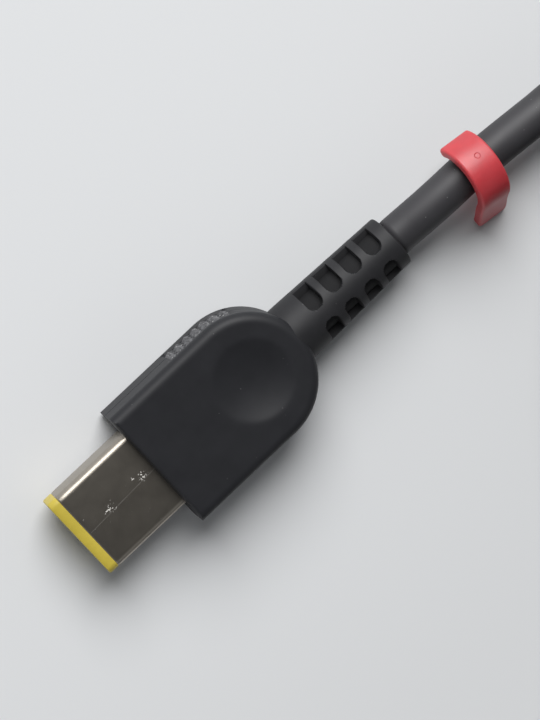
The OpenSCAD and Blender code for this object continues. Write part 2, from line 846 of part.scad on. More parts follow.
module plug_grip() {
    ball_r = (dish_r * dish_r + dish_depth * dish_depth) / (2 * dish_depth);
    color([0.13, 0.13, 0.14]) difference() {
        grip_outside();
        translate([dish_x, plug_y, grip_h - dish_depth + ball_r]) sphere(ball_r);
        translate([grip_x - 1, plug_y, plug_z])
            rounded_bar(shell_x2 - grip_x + 1, shell_w, shell_h, shell_r);
        brick(shell_x2 - eps, plug_y - premould_w / 2, plug_z - premould_h / 2,
              premould_x2 - shell_x2 + eps, premould_w, premould_h);
        rod([premould_x2 - 1, plug_y, plug_z], "x", root_r + skin_gap, grip_r + 2);
        rod([grip_x2 - 1, plug_y, plug_z], "x", relief_r1 + skin_gap, 2);
    }
}

module plug_shell() {
    color([0.55, 0.53, 0.5]) translate([shell_x, plug_y, plug_z]) difference() {
        rounded_bar(shell_x2 - shell_x, shell_w, shell_h, shell_r);
        translate([-1, 0, 0])
            rounded_bar(shell_x2 - shell_x + 2, sleeve_w, sleeve_h, shell_r - shell_wall);
    }
}

// Coloured rim, with the sleeve that lines the shell
module plug_rim() {
    color([0.9, 0.8, 0.1]) translate([tip_x, plug_y, plug_z]) difference() {
        union() {
            rounded_bar(rim_l, shell_w, shell_h, shell_r);
            rounded_bar(shell_x2 - tip_x, sleeve_w, sleeve_h, shell_r - shell_wall);
        }
        translate([-1, 0, 0]) rounded_bar(rim_l + 2, mouth_w, mouth_h, mouth_r);
        translate([rim_l, 0, 0]) rounded_bar(shell_x2 - tip_x, contact_w, contact_h, contact_r);
    }
}

module plug_inner_contact() {
    color([0.75, 0.7, 0.55]) translate([shell_x, plug_y, plug_z]) difference() {
        rounded_bar(shell_x2 - shell_x, contact_w, contact_h, contact_r);
        translate([-1, 0, 0]) rounded_bar(shell_x2 - shell_x + 2, mouth_w, mouth_h, mouth_r);
    }
}

module plug_rear_insulator() {
    color([0.85, 0.75, 0.2]) translate([mouth_floor, plug_y, plug_z]) difference() {
        rounded_bar(shell_x2 - mouth_floor, mouth_w, mouth_h, mouth_r);
        rod([-1, 0, 0], "x", centre_pin_r, shell_x2 - mouth_floor + 2);
    }
}

module plug_centre_pin() {
    color([0.8, 0.7, 0.4]) translate([tip_x + 3.5, plug_y, plug_z]) {
        rod([0, 0, 0], "x", centre_pin_r, shell_x2 + 2 - tip_x - 3.5);
        sphere(centre_pin_r);
    }
}

module plug_solder_tags() {
    color([0.75, 0.7, 0.55]) {
        brick(shell_x2, plug_y + core_gap_y - tag_w / 2, plug_z + mouth_h / 2,
              tag_l, tag_w, tag_t);
        brick(shell_x2, plug_y - core_gap_y - tag_w / 2, plug_z - mouth_h / 2 - tag_t,
              tag_l, tag_w, tag_t);
    }
}

module plug_power_core() {
    color([0.7, 0.1, 0.1])
        rod([core_x1, plug_y + core_gap_y, plug_z], "x", core_r, premould_x2 - core_x1);
}

module plug_return_core() {
    color([0.2, 0.2, 0.2])
        rod([core_x1, plug_y - core_gap_y, plug_z], "x", core_r, premould_x2 - core_x1);
}

module plug_coding_resistor() {
    color([0.2, 0.45, 0.7]) rod([shell_x2 + 2, plug_y, plug_z], "x", 0.6, 2);
}

// Hard block round the joints between the lead and the contacts
module plug_premould() {
    color([0.9, 0.9, 0.88]) difference() {
        brick(shell_x2, plug_y - premould_w / 2, plug_z - premould_h / 2,
              premould_x2 - shell_x2, premould_w, premould_h);
        plug_solder_tags();
        plug_centre_pin();
        plug_coding_resistor();
        plug_power_core();
        plug_return_core();
    }
}

module arm_plan() {
    translate([0, -clip_w / 2]) square([clip_arm - clip_end_r, clip_w]);
    translate([0, clip_end_r - clip_w / 2]) square([clip_arm, clip_w - 2 * clip_end_r]);
    for (y = [-1, 1])
        translate([clip_arm - clip_end_r, y * (clip_w / 2 - clip_end_r)]) circle(clip_end_r);
}

// Hook on the lead: most of a ring, and a straight arm down to the floor on the -Y side
module lead_clip() {
    color([0.8, 0.15, 0.18])
        translate([clip_x, clip_y, clip_z]) rotate([clip_roll, clip_lean, -clip_turn])
            rotate([90, 0, 90]) {
                rotate([0, 0, 90 - clip_near]) rotate_extrude(angle = clip_near + clip_far)
                    translate([clip_bore_r, -clip_w / 2]) square([clip_t, clip_w]);
                rotate([0, 0, 90 + clip_far]) translate([clip_bore_r, 0, 0])
                    rotate([90, 0, 90]) linear_extrude(clip_t) arm_plan();
            }
}

case_bottom();
case_top();
mains_inlet();
inlet_pins();
live_wire();
neutral_wire();
earth_wire();
insulation_sheet();
circuit_board();
fuse();
varistor();
inrush_thermistor();
x_capacitor();
noise_choke_core();
noise_choke_windings();
bridge_rectifier();
bulk_capacitor();
transformer_core();
transformer_bobbin();
transformer_winding();
primary_heat_sink();
switching_transistor();
insulator_pads();
sink_screws();
y_capacitor();
optocoupler();
controller_chip();
surface_parts();
secondary_heat_sink();
output_rectifier();
output_capacitors();
output_choke();
status_led();
light_pipe();
shield_plate();
thermal_pad();
output_wires();
lead_gland();
lead_block_end();
lead_from_block();
lead_bundle();
bundle_ties();
lead_to_plug();
lead_plug_end();
plug_strain_relief();
plug_grip();
plug_premould();
plug_power_core();
plug_return_core();
plug_solder_tags();
plug_coding_resistor();
plug_rear_insulator();
plug_centre_pin();
plug_inner_contact();
plug_rim();
plug_shell();
lead_clip();
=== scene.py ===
import bmesh, bpy, json, math
from mathutils import Matrix, Vector


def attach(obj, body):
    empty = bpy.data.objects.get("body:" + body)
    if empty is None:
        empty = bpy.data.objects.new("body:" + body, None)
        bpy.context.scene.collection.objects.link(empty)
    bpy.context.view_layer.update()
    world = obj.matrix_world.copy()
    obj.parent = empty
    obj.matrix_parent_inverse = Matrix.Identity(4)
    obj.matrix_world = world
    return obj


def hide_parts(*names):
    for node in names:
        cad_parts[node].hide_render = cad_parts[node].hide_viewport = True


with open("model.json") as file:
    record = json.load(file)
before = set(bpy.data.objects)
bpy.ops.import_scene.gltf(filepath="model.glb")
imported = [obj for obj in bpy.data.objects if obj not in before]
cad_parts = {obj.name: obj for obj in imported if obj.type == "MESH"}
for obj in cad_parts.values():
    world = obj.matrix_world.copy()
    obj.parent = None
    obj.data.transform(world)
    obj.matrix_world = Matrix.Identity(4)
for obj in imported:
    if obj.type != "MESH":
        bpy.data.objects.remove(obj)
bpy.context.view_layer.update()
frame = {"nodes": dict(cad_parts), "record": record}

millimetre = 0.001
slotOf = {s["node"]: s["material_slot"] for s in frame["record"]["subparts"]}
scene = bpy.context.scene
scene.view_settings.view_transform = "Standard"
print("frame loaded:", len(frame["nodes"]), "nodes")


# small helpers

def mm(*values):
    return Vector([v * millimetre for v in values])


def smooth(x):
    x = min(max(x, 0.0), 1.0)
    return x * x * (3 - 2 * x)


def mix(a, b, t):
    return a + (b - a) * t


def newObject(name, verts, faces, smoothShade=True):
    mesh = bpy.data.meshes.new(name)
    mesh.from_pydata([tuple(v) for v in verts], [], faces)
    mesh.validate()
    mesh.update()
    for p in mesh.polygons:
        p.use_smooth = smoothShade
    return showMesh(name, mesh)


def showMesh(name, mesh):
    thing = bpy.data.objects.new(name, mesh)
    scene.collection.objects.link(thing)
    return thing


def rowFaces(rows, perRow):
    return [(i * perRow + k, i * perRow + (k + 1) % perRow, (i + 1) * perRow + (k + 1) % perRow,
             (i + 1) * perRow + k) for i in range(rows - 1) for k in range(perRow)]


def skin(name, rings, loop=False):
    # closed rings of equal length, joined in order; the ends are capped, or the last ring joins the first
    n = len(rings[0])
    last = (len(rings) - 1) * n
    faces = rowFaces(len(rings), n)
    if loop:
        faces += [(last + k, last + (k + 1) % n, (k + 1) % n, k) for k in range(n)]
    else:
        faces += [tuple(range(n)), tuple(range(last + n - 1, last - 1, -1))]
    return newObject(name, [p for r in rings for p in r], faces)


def outward(thing):
    # turns the faces of a closed mesh outwards
    bm = bmesh.new()
    bm.from_mesh(thing.data)
    bmesh.ops.remove_doubles(bm, verts=bm.verts, dist=1e-7)
    bmesh.ops.recalc_face_normals(bm, faces=bm.faces)
    bm.to_mesh(thing.data)
    bm.free()
    return thing


def sharpen(thing, degrees=32):
    thing.data.set_sharp_from_angle(angle=math.radians(degrees))
    return thing


def curvePoints(points, step):
    # Catmull-Rom through the points, one every step
    pts = [2 * points[0] - points[1]] + list(points) + [2 * points[-1] - points[-2]]
    out = []
    for i in range(1, len(pts) - 2):
        p0, p1, p2, p3 = pts[i - 1:i + 3]
        count = max(1, round((p2 - p1).length / step))
        for k in range(count):
            t = k / count
            out.append(0.5 * (2 * p1 + (p2 - p0) * t + (2 * p0 - 5 * p1 + 4 * p2 - p3) * t * t
                              + (3 * p1 - p0 - 3 * p2 + p3) * t ** 3))
    return out + [points[-1].copy()]


def tubeAlong(name, path, radius, sides):
    rings = []
    n = len(path)
    tangents = [(path[min(i + 1, n - 1)] - path[max(i - 1, 0)]).normalized() for i in range(n)]
    side = tangents[0].cross(Vector((0, 0, 1))).normalized()
    for p, tangent in zip(path, tangents):
        side = (side - tangent * side.dot(tangent)).normalized()
        up = side.cross(tangent)
        turns = [2 * math.pi * k / sides for k in range(sides)]
        rings.append([p + radius * (math.cos(a) * side + math.sin(a) * up) for a in turns])
    return outward(skin(name, rings))


def roundedSection(width, height, radius, perCorner):
    # rounded rectangle round the origin, anticlockwise
    points = []
    for cx, cy, start in ((1, 1, 0), (-1, 1, 90), (-1, -1, 180), (1, -1, 270)):
        for k in range(perCorner + 1):
            a = math.radians(start + 90 * k / perCorner)
            points.append((cx * (width / 2 - radius) + radius * math.cos(a),
                           cy * (height / 2 - radius) + radius * math.sin(a)))
    return points


# camera: looks at the plug from above, a little from its upper flank

plugPlace = {
    "lineY": 82.0,        # millimetres, as the other sizes here
    "lineZ": 3.9,
}
cameraView = {
    "target": (15.0, 82.0, 3.9),
    "tiltAlong": -4.8,    # degrees from upright, along the plug
    "tiltAcross": 14.0,   # degrees from upright, across the plug
    "roll": -42.2,
    "distance": 380.0,
    "pixelsPerMm": 8.68,
    "offset": (-2.4, 3.2),  # pixels
    "frame": (540, 720),
}


def makeCamera(v):
    toCamera = Vector((math.tan(math.radians(v["tiltAlong"])),
                       math.tan(math.radians(v["tiltAcross"])), 1)).normalized()
    right = Vector((0, 1, 0)).cross(toCamera).normalized()
    up = toCamera.cross(right)
    roll = math.radians(v["roll"])
    right, up = (math.cos(roll) * right + math.sin(roll) * up,
                 math.cos(roll) * up - math.sin(roll) * right)
    target = Vector(v["target"]) - (v["offset"][0] * right + v["offset"][1] * up) / v["pixelsPerMm"]
    data = bpy.data.cameras.new("camera")
    data.sensor_fit = "AUTO"
    data.sensor_width = 36
    data.lens = v["pixelsPerMm"] * v["distance"] / v["frame"][1] * data.sensor_width
    data.clip_start, data.clip_end = 0.01, 20
    camera = bpy.data.objects.new("camera", data)
    scene.collection.objects.link(camera)
    turn = Matrix((right, up, toCamera)).transposed()
    place = (target + toCamera * v["distance"]) * millimetre
    camera.matrix_world = Matrix.Translation(place) @ turn.to_4x4()
    scene.camera = camera
    return right, up


cameraRight, cameraUp = makeCamera(cameraView)
print("camera ready")


# lead

lead = {
    "diameter": 4.8,
    "sides": 24,
    "step": 2.4,
    "coilCentre": (81.0, 49.4),
    "coilRadius": 32.6,
    "coilPitch": 5.3,
    "coilTurns": 10.25,
    "coilLayers": 4,
    "coilZ": 3.75,
    "fromBlock": [
        (80, 0, 14.75), (85, 0, 14.75), (91, 1.5, 14.9), (98, 4.5, 15.5), (104, 9.5, 16.4),
        (108.5, 15.5, 17.4), (111.5, 22, 18.5), (113, 29, 19.2), (113.56, 36, 19.65),
        (113.6, 44.6, 19.65),
    ],
    "toPlug": [
        (76.2, 82, 3.75), (74.5, 82, 3.75), (70, 81.7, 4), (65, 81.2, 4.4), (60, 81.1, 4.8),
        (55, 81.5, 5), (50, 81.9, 5), (46, 82, 5), (42.5, 82, 4.95), (40, 82, 4.7), (38, 82, 4.3),
        (35.8, 82, 3.9), (34.8, 82, 3.9),
    ],
}


def coilPoint(turn):
    layerTurns = lead["coilTurns"] / lead["coilLayers"]
    a = turn / layerTurns
    swing = abs(a - 2 * math.floor(a / 2 + 0.5))
    r = lead["coilRadius"] - lead["coilPitch"] * layerTurns * swing
    climbs = sum(smooth((turn - k * layerTurns) / 0.5 + 0.5) for k in range(1, lead["coilLayers"]))
    angle = math.radians(90 - 360 * turn)
    return mm(lead["coilCentre"][0] + r * math.cos(angle), lead["coilCentre"][1] + r * math.sin(angle),
              lead["coilZ"] + lead["coilPitch"] * climbs)


def leadPath():
    steps = round(lead["coilTurns"] * 72)
    coil = [coilPoint(lead["coilTurns"] * i / steps) for i in range(steps, -1, -1)]
    block = curvePoints([mm(*p) for p in lead["fromBlock"]], lead["step"] * millimetre)
    plug = curvePoints([mm(*p) for p in lead["toPlug"]], lead["step"] * millimetre)
    return block + coil + plug


leadPoints = leadPath()
leadPiece = tubeAlong("output_lead", leadPoints, lead["diameter"] / 2 * millimetre, lead["sides"])
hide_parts("lead_from_block", "lead_bundle", "lead_to_plug")
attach(leadPiece, "root")


# shared finishes

def setInputs(node, values):
    for key, value in (values or {}).items():
        node.inputs[key].default_value = value
    return node


def addNode(tree, kind, values=None, **settings):
    node = tree.nodes.new(kind)
    for key, value in settings.items():
        setattr(node, key, value)
    return setInputs(node, values)


def mathNode(tree, operation, values=None):
    return addNode(tree, "ShaderNodeMath", values, operation=operation)


def placedNode(tree, kind, values=None, **settings):
    # a node fed with the object's own coordinates
    node = addNode(tree, kind, values, **settings)
    where = addNode(tree, "ShaderNodeTexCoord")
    tree.links.new(where.outputs["Object"], node.inputs[0])
    return node


def connect(tree, *links):
    # each link: a node and its output, then a node and its input
    for source, output, target, into in links:
        tree.links.new(source.outputs[output], target.inputs[into])


def nodeGroup(name, inputs, outputs, treeKind="ShaderNodeTree"):
    # inputs and outputs: the kind of each named socket; whatever uses a group sets all its inputs
    tree = bpy.data.node_groups.new(name, treeKind)
    for side, sockets in (("INPUT", inputs), ("OUTPUT", outputs)):
        for label, kind in sockets.items():
            tree.interface.new_socket(name=label, in_out=side, socket_type="NodeSocket" + kind)
    return tree, addNode(tree, "NodeGroupInput"), addNode(tree, "NodeGroupOutput")


def makeGrain():
    # fine moulded texture: noise as a normal
    g, a, b = nodeGroup("grain", {"Scale": "Float", "Depth": "Float"}, {"Normal": "Vector"})
    noise = placedNode(g, "ShaderNodeTexNoise", {"Detail": 3, "Roughness": 0.6})
    bump = addNode(g, "ShaderNodeBump", {"Strength": 1})
    connect(g, (a, "Scale", noise, "Scale"), (noise, "Fac", bump, "Height"),
            (a, "Depth", bump, "Distance"), (bump, "Normal", b, "Normal"))
    return g


def makeBlotch():
    # slow change between two colours, and between two roughnesses
    g, a, b = nodeGroup("blotch", {"Light": "Color", "Dark": "Color", "Scale": "Float",
                                   "Rough From": "Float", "Rough To": "Float"},
                        {"Color": "Color", "Roughness": "Float"})
    noise = placedNode(g, "ShaderNodeTexNoise", {"Detail": 5, "Roughness": 0.65})
    ramp = addNode(g, "ShaderNodeMapRange", {"From Min": 0.35, "From Max": 0.65})
    blend = addNode(g, "ShaderNodeMix", data_type="RGBA")
    rough = addNode(g, "ShaderNodeMapRange")
    connect(g, (a, "Scale", noise, "Scale"), (noise, "Fac", ramp, "Value"),
            (ramp, "Result", blend, "Factor"), (a, "Dark", blend, 6), (a, "Light", blend, 7),
            (noise, "Fac", rough, "Value"), (a, "Rough From", rough, "To Min"),
            (a, "Rough To", rough, "To Max"), (blend, 2, b, "Color"), (rough, "Result", b, "Roughness"))
    return g


def makeSpecks():
    # small sparse spots, as a mask
    g, a, b = nodeGroup("specks", {"Scale": "Float", "Share": "Float"}, {"Mask": "Float"})
    cells = placedNode(g, "ShaderNodeTexVoronoi")
    less = mathNode(g, "LESS_THAN")
    connect(g, (a, "Scale", cells, "Scale"), (cells, "Distance", less, 0), (a, "Share", less, 1),
            (less, "Value", b, "Mask"))
    return g


def makeScuff():
    # broken bright specks round one place, as a mask
    g, a, b = nodeGroup("scuff", {"Place": "Vector", "Reach": "Float", "Scale": "Float", "Level": "Float"},
                        {"Mask": "Float"})
    away = placedNode(g, "ShaderNodeVectorMath", operation="DISTANCE")
    near = addNode(g, "ShaderNodeMapRange", {"To Min": 0.12, "To Max": -0.14})
    noise = placedNode(g, "ShaderNodeTexNoise", {"Detail": 2})
    lifted = mathNode(g, "ADD")
    over = mathNode(g, "GREATER_THAN")
    connect(g, (a, "Place", away, 1), (away, "Value", near, "Value"), (a, "Reach", near, "From Max"),
            (a, "Scale", noise, "Scale"), (noise, "Fac", lifted, 0), (near, "Result", lifted, 1),
            (lifted, "Value", over, 0), (a, "Level", over, 1), (over, "Value", b, "Mask"))
    return g


def makeDot():
    # a soft-edged round spot at one place, as a mask
    g, a, b = nodeGroup("dot", {"Place": "Vector", "Inner": "Float", "Outer": "Float"}, {"Mask": "Float"})
    away = placedNode(g, "ShaderNodeVectorMath", operation="DISTANCE")
    edge = addNode(g, "ShaderNodeMapRange", {"To Min": 1, "To Max": 0})
    connect(g, (a, "Place", away, 1), (away, "Value", edge, "Value"), (a, "Inner", edge, "From Min"),
            (a, "Outer", edge, "From Max"), (edge, "Result", b, "Mask"))
    return g


groups = {"grain": makeGrain(), "blotch": makeBlotch(), "specks": makeSpecks(), "scuff": makeScuff(),
          "dot": makeDot()}


def putGroup(tree, name, values):
    return addNode(tree, "ShaderNodeGroup", values, node_tree=groups[name])


def newMaterial(name, values=None):
    # the material, its tree and its shader
    m = bpy.data.materials.new(name)
    m.use_nodes = True
    return m, m.node_tree, setInputs(m.node_tree.nodes["Principled BSDF"], values)


def finish(name, color, rough, vary=0.12, roughVary=0.06, scale=150.0, grain=3000.0, depth=0.000008,
           metallic=0.0, coat=0.0, specular=0.5, dustAndGlints=None):
    m, tree, shader = newMaterial(name, {"Metallic": metallic, "Coat Weight": coat,
                                         "Specular IOR Level": specular})
    light = [min(1, c * (1 + vary)) for c in color] + [1]
    dark = [c * (1 - vary) for c in color] + [1]
    blotch = putGroup(tree, "blotch", {"Light": light, "Dark": dark, "Scale": scale,
                                       "Rough From": rough - roughVary, "Rough To": rough + roughVary})
    bumps = putGroup(tree, "grain", {"Scale": grain, "Depth": depth})
    connect(tree, (blotch, "Color", shader, "Base Color"), (blotch, "Roughness", shader, "Roughness"),
            (bumps, "Normal", shader, "Normal"))
    if dustAndGlints:                              # scale, share and colour of the specks
        specks = putGroup(tree, "specks", {"Scale": dustAndGlints[0], "Share": dustAndGlints[1]})
        mixOver(m, "Base Color", specks.outputs["Mask"], (*dustAndGlints[2], 1))
    return m


def mixOver(m, label, mask, value):
    # puts a value over what feeds one of the shader's inputs, where the mask is 1
    tree = m.node_tree
    below = tree.nodes["Principled BSDF"].inputs[label]
    colored = label == "Base Color"
    under, top, out = (6, 7, 2) if colored else (2, 3, 0)
    over = addNode(tree, "ShaderNodeMix", {top: value}, data_type="RGBA" if colored else "FLOAT")
    tree.links.new(mask, over.inputs["Factor"])
    tree.links.new(below.links[0].from_socket, over.inputs[under])
    tree.links.new(over.outputs[out], below)


def layOver(m, mask, color, rough):
    mixOver(m, "Base Color", mask, (*color, 1))
    mixOver(m, "Roughness", mask, rough)


def dress(thing, material):
    thing.data.materials.clear()
    thing.data.materials.append(material)
    return thing


def place(thing, body, slot, *nodes):
    if nodes:
        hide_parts(*nodes)
    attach(thing, body)
    return thing


# geometry nodes: repeated small shapes along rows of points

def repeatTree(name):
    # a pyramid with the given number of sides on every step of the rows, standing out of them
    tree, a, b = nodeGroup(name, {"Geometry": "Geometry", "Pitch": "Float", "Sides": "Int",
                                  "Radius": "Float", "Height": "Float", "Sink": "Float",
                                  "Material": "Material"},
                           {"Geometry": "Geometry"}, "GeometryNodeTree")
    curve = addNode(tree, "GeometryNodeMeshToCurve")
    steps = addNode(tree, "GeometryNodeResampleCurve", mode="LENGTH")
    tangent = addNode(tree, "GeometryNodeInputTangent")
    away = addNode(tree, "ShaderNodeVectorMath", {1: (0, 0, 1)}, operation="CROSS_PRODUCT")
    stand = addNode(tree, "FunctionNodeAlignRotationToVector", axis="Z")
    turn = addNode(tree, "FunctionNodeAlignRotationToVector", axis="X", pivot_axis="Z")
    cone = addNode(tree, "GeometryNodeMeshCone", {"Radius Top": 0})
    down = mathNode(tree, "MULTIPLY", {1: -1})
    shift = addNode(tree, "ShaderNodeCombineXYZ")
    lower = addNode(tree, "GeometryNodeTransform")
    put = addNode(tree, "GeometryNodeInstanceOnPoints")
    real = addNode(tree, "GeometryNodeRealizeInstances")
    paint = addNode(tree, "GeometryNodeSetMaterial")
    connect(tree, (a, "Geometry", curve, "Mesh"), (curve, "Curve", steps, "Curve"),
            (a, "Pitch", steps, "Length"), (a, "Sides", cone, "Vertices"),
            (a, "Radius", cone, "Radius Bottom"), (a, "Height", cone, "Depth"),
            (cone, "Mesh", lower, "Geometry"), (a, "Sink", down, 0), (down, "Value", shift, "Z"),
            (shift, "Vector", lower, "Translation"), (tangent, "Tangent", away, 0),
            (away, "Vector", stand, "Vector"), (stand, "Rotation", turn, "Rotation"),
            (tangent, "Tangent", turn, "Vector"), (steps, "Curve", put, "Points"),
            (lower, "Geometry", put, "Instance"), (turn, "Rotation", put, "Rotation"),
            (put, "Instances", real, "Geometry"), (real, "Geometry", paint, "Geometry"),
            (a, "Material", paint, "Material"), (paint, "Geometry", b, "Geometry"))
    return tree


def growRows(name, rows, tree, values):
    # rows: lists of points; the grown shapes come back as a plain mesh object
    mesh = bpy.data.meshes.new(name)
    edges, verts = [], []
    for row in rows:
        edges += [(len(verts) + i, len(verts) + i + 1) for i in range(len(row) - 1)]
        verts += [tuple(p) for p in row]
    mesh.from_pydata(verts, edges, [])
    thing = showMesh(name, mesh)
    grow = thing.modifiers.new("grow", "NODES")
    grow.node_group = tree
    for item in tree.interface.items_tree:
        if item.item_type == "SOCKET" and item.in_out == "INPUT" and item.name in values:
            grow[item.identifier] = values[item.name]
    grown = bpy.data.meshes.new_from_object(thing.evaluated_get(bpy.context.evaluated_depsgraph_get()))
    thing.modifiers.clear()
    thing.data = grown
    return thing


def joinInto(thing, other):
    bm = bmesh.new()
    bm.from_mesh(thing.data)
    bm.from_mesh(other.data)
    bm.to_mesh(thing.data)
    bm.free()
    bpy.data.objects.remove(other)
    return thing


# plug grip

grip = {
    "front": -3.4,        # x of the flat front
    "length": 22.8,
    "width": 16.2,
    "height": 7.8,
    "edge": 1.15,
    "frontEdge": 0.35,
    "dishRadius": 4.8,
    "dishShift": 0.35,
    "dishDepth": 0.8,
    "partingDepth": 0.07,
    "knurlFrom": 9.6,     # behind the front
    "knurlTo": 18.8,
    "knurlHeights": (1.35, 6.45),
    "knurlRecess": 0.3,
    "knurlPitch": 1.2,
    "rings": 34,
}
gripMid = grip["front"] + grip["length"] - grip["width"] / 2  # x of the round end's centre


def gripOutline():
    # plan outline, anticlockwise, in millimetres from the plug's line
    half, front = grip["width"] / 2, grip["front"]
    turns = [math.pi * (i / 64 - 0.5) for i in range(64)]
    return ([(front, half - 2 * half * i / 30) for i in range(30)]
            + [(mix(front, gripMid, i / 48), -half) for i in range(48)]
            + [(gripMid + half * math.cos(a), half * math.sin(a)) for a in turns]
            + [(mix(gripMid, front, i / 48), half) for i in range(48)])


def knurlShare(x, y):
    # 1 inside the knurled patch of a flank, 0 outside
    along = x - grip["front"]
    if x > gripMid:
        along = gripMid - grip["front"] + math.atan2(x - gripMid, abs(y)) * grip["width"] / 2
    edge = 0.25
    return smooth((along - grip["knurlFrom"]) / edge) * smooth((grip["knurlTo"] - along) / edge)


def makeGrip():
    g = grip
    half = g["width"] / 2
    h = g["height"]
    low, high = g["knurlHeights"]
    outline = gripOutline()
    profile = []                          # (inset, z) from the underside to the top
    for k in range(8):
        a = math.pi / 2 * k / 7
        profile.append((g["edge"] * (1 - math.sin(a)), g["edge"] * (1 - math.cos(a))))
    profile += [(g["partingDepth"] if z == plugPlace["lineZ"] else 0, z)
                for z in (low, 1.5, 2.2, 3.0, 3.72, 3.8, 3.9, 4.0, 4.08, 4.8, 5.6, 6.3, high)]
    for k in range(8):
        a = math.pi / 2 * k / 7
        profile.append((g["edge"] * (1 - math.cos(a)), h - g["edge"] * (1 - math.sin(a))))

    def ring(inset, z, dish=False):
        share = inset / half
        front = g["frontEdge"] / half * min(1, inset / g["edge"])
        if inset > g["edge"]:             # the front's own edge is smaller than the sides'
            front = mix(front, 1, (inset - g["edge"]) / (half - g["edge"]))
        pts = []
        for i, (x, y) in enumerate(outline):
            sx = min(max(x, g["front"] + half), gripMid)
            px = mix(x, sx, front if x < sx else share)
            py = y * (1 - share)
            pz = z
            if dish:
                q = 1 - (math.hypot(px - gripMid - g["dishShift"], py) / g["dishRadius"]) ** 2
                pz -= g["dishDepth"] * (q + math.sqrt(q * q + 0.012)) / 2
            elif low <= z <= high and i >= 30:
                deep = g["knurlRecess"] * knurlShare(x, y)
                deep *= smooth((z - low) / 0.15) * smooth((high - z) / 0.15)
                px, py = px + (sx - px) * deep / half, py * (1 - deep / half)
            pts.append(mm(px, plugPlace["lineY"] + py, pz))
        return pts

    rings = [ring(inset, z) for inset, z in profile]
    rings += [ring(mix(g["edge"], half, k / g["rings"]), h, True) for k in range(1, g["rings"] + 1)]
    n = len(outline)
    faces = rowFaces(len(rings), n) + [tuple(range(n))]  # with the flat underside
    body = newObject("plug_grip_moulding", [p for r in rings for p in r], faces)
    return sharpen(outward(body), 50)


def flankPoint(along, side, z):
    half = grip["width"] / 2
    inner = half - grip["knurlRecess"]
    straight = grip["length"] - half
    turn = max(0, along - straight) / half
    return mm(grip["front"] + min(along, straight) + inner * math.sin(turn),
              plugPlace["lineY"] + side * inner * math.cos(turn), z)


def makeKnurl(material):
    pitch = grip["knurlPitch"]
    rows = []
    for side in (-1, 1):
        for i in range(7):
            start = grip["knurlFrom"] + pitch * (0.5 if i % 2 else 1.0) * 0.6
            count = int((grip["knurlTo"] - 0.4 - start) / pitch * 4)
            row = [flankPoint(start + pitch * k / 4, side, 2.1 + i * pitch / 2) for k in range(count + 1)]
            rows.append(row if side < 0 else row[::-1])
    return growRows("plug_grip_knurl", rows, repeatTree("knurl rows"), {
        "Pitch": pitch * millimetre, "Sides": 4, "Radius": pitch * 0.56 * millimetre,
        "Height": (grip["knurlRecess"] + 0.02) * millimetre, "Sink": 0.03 * millimetre,
        "Material": material})


gripFinish = finish("soft black plastic", (0.0148, 0.0152, 0.0178), 0.52, vary=0.07, roughVary=0.07,
                    scale=260, grain=9000, depth=0.0000035, specular=0.31,
                    dustAndGlints=(700, 0.035, (0.10, 0.10, 0.10)))
gripPiece = place(makeGrip(), "root", "grip_rubber", "plug_grip")
dress(gripPiece, gripFinish)
# painted highlight: the knurl's lighter colour and its many bright specks stand in for light caught by the
# facets
knurlHighlightFinish = finish("knurl with painted highlights", (0.092, 0.092, 0.097), 0.6, vary=0.6, roughVary=0.1, scale=1500,
                     grain=6000, depth=0.000004, specular=0.4, dustAndGlints=(2200, 0.22, (0.24, 0.24, 0.24)))
place(makeKnurl(knurlHighlightFinish), "root", "grip_rubber", "plug_grip")
print("grip ready")


# plug shell and rim

shell = {
    "width": 11.0,
    "height": 4.5,
    "radius": 0.9,
    "from": -13.9,
    "to": 2.6,
    "wall": 0.35,
    "rimFrom": -15.2,
    "rimChamfer": 0.18,
    "mouthWidth": 9.1,
    "mouthHeight": 2.6,
    "scuffs": ((-10.1, 0.36, 1.1), (-10.9, 0.2, 0.5), (-5.0, 0.5, 1.0), (-6.0, 1.0, 0.45)),
    "scratchAt": (-8.5, -0.05),  # one faint line along the top
    "scratchTurn": 2.3,
    "scratchHalf": (5.2, 0.04, 0.3),
}


def roundedRing(x, w, h, r):
    # section across the plug's line, in the row frame
    return [mm(x, plugPlace["lineY"] + y, plugPlace["lineZ"] + z) for y, z in roundedSection(w, h, r, 10)]


def sleeve(name, steps):
    # steps: (x, width, height, radius) from outside round to inside; the loop closes on itself
    return sharpen(outward(skin(name, [roundedRing(*step) for step in steps], True)), 40)


def makeShell():
    w, h, r, wall = shell["width"], shell["height"], shell["radius"], shell["wall"]
    a, b = shell["from"], shell["to"]
    steps = [(a + 0.12, w - 0.02, h - 0.02, r)]
    steps += [(x, w, h, r) for x in (a + 0.2, -12.9, -12.86, -11, -9, -7, -5, -3.4, 0, b)]
    steps += [(b, w - 2 * wall, h - 2 * wall, r - wall), (a, w - 2 * wall, h - 2 * wall, r - wall),
              (a, w - 0.16, h - 0.16, r)]
    return sleeve("plug_shell_sheet", steps)


def makeRim():
    w, h, r, c = shell["width"], shell["height"], shell["radius"], shell["rimChamfer"]
    a, b = shell["rimFrom"], shell["from"]
    mw, mh, wall = shell["mouthWidth"], shell["mouthHeight"], shell["wall"]
    lw, lh = w - 2 * wall, h - 2 * wall
    steps = [(a, w - 2 * c, h - 2 * c, r - c / 2), (a + c * 0.35, w - c * 0.5, h - c * 0.5, r),
             (a + c, w, h, r),
             (b - 0.08, w, h, r), (b - 0.02, w - 0.1, h - 0.1, r),
             (b, w - 0.14, h - 0.14, r), (b, lw, lh, r - wall), (shell["to"], lw, lh, r - wall),
             (shell["to"], lw - 0.6, lh - 0.6, 0.3), (b, lw - 0.6, lh - 0.6, 0.3), (b, mw, mh, 0.2),
             (a + 0.15, mw, mh, 0.2), (a, mw + 0.3, mh + 0.3, 0.35)]
    return sleeve("plug_rim_moulding", steps)


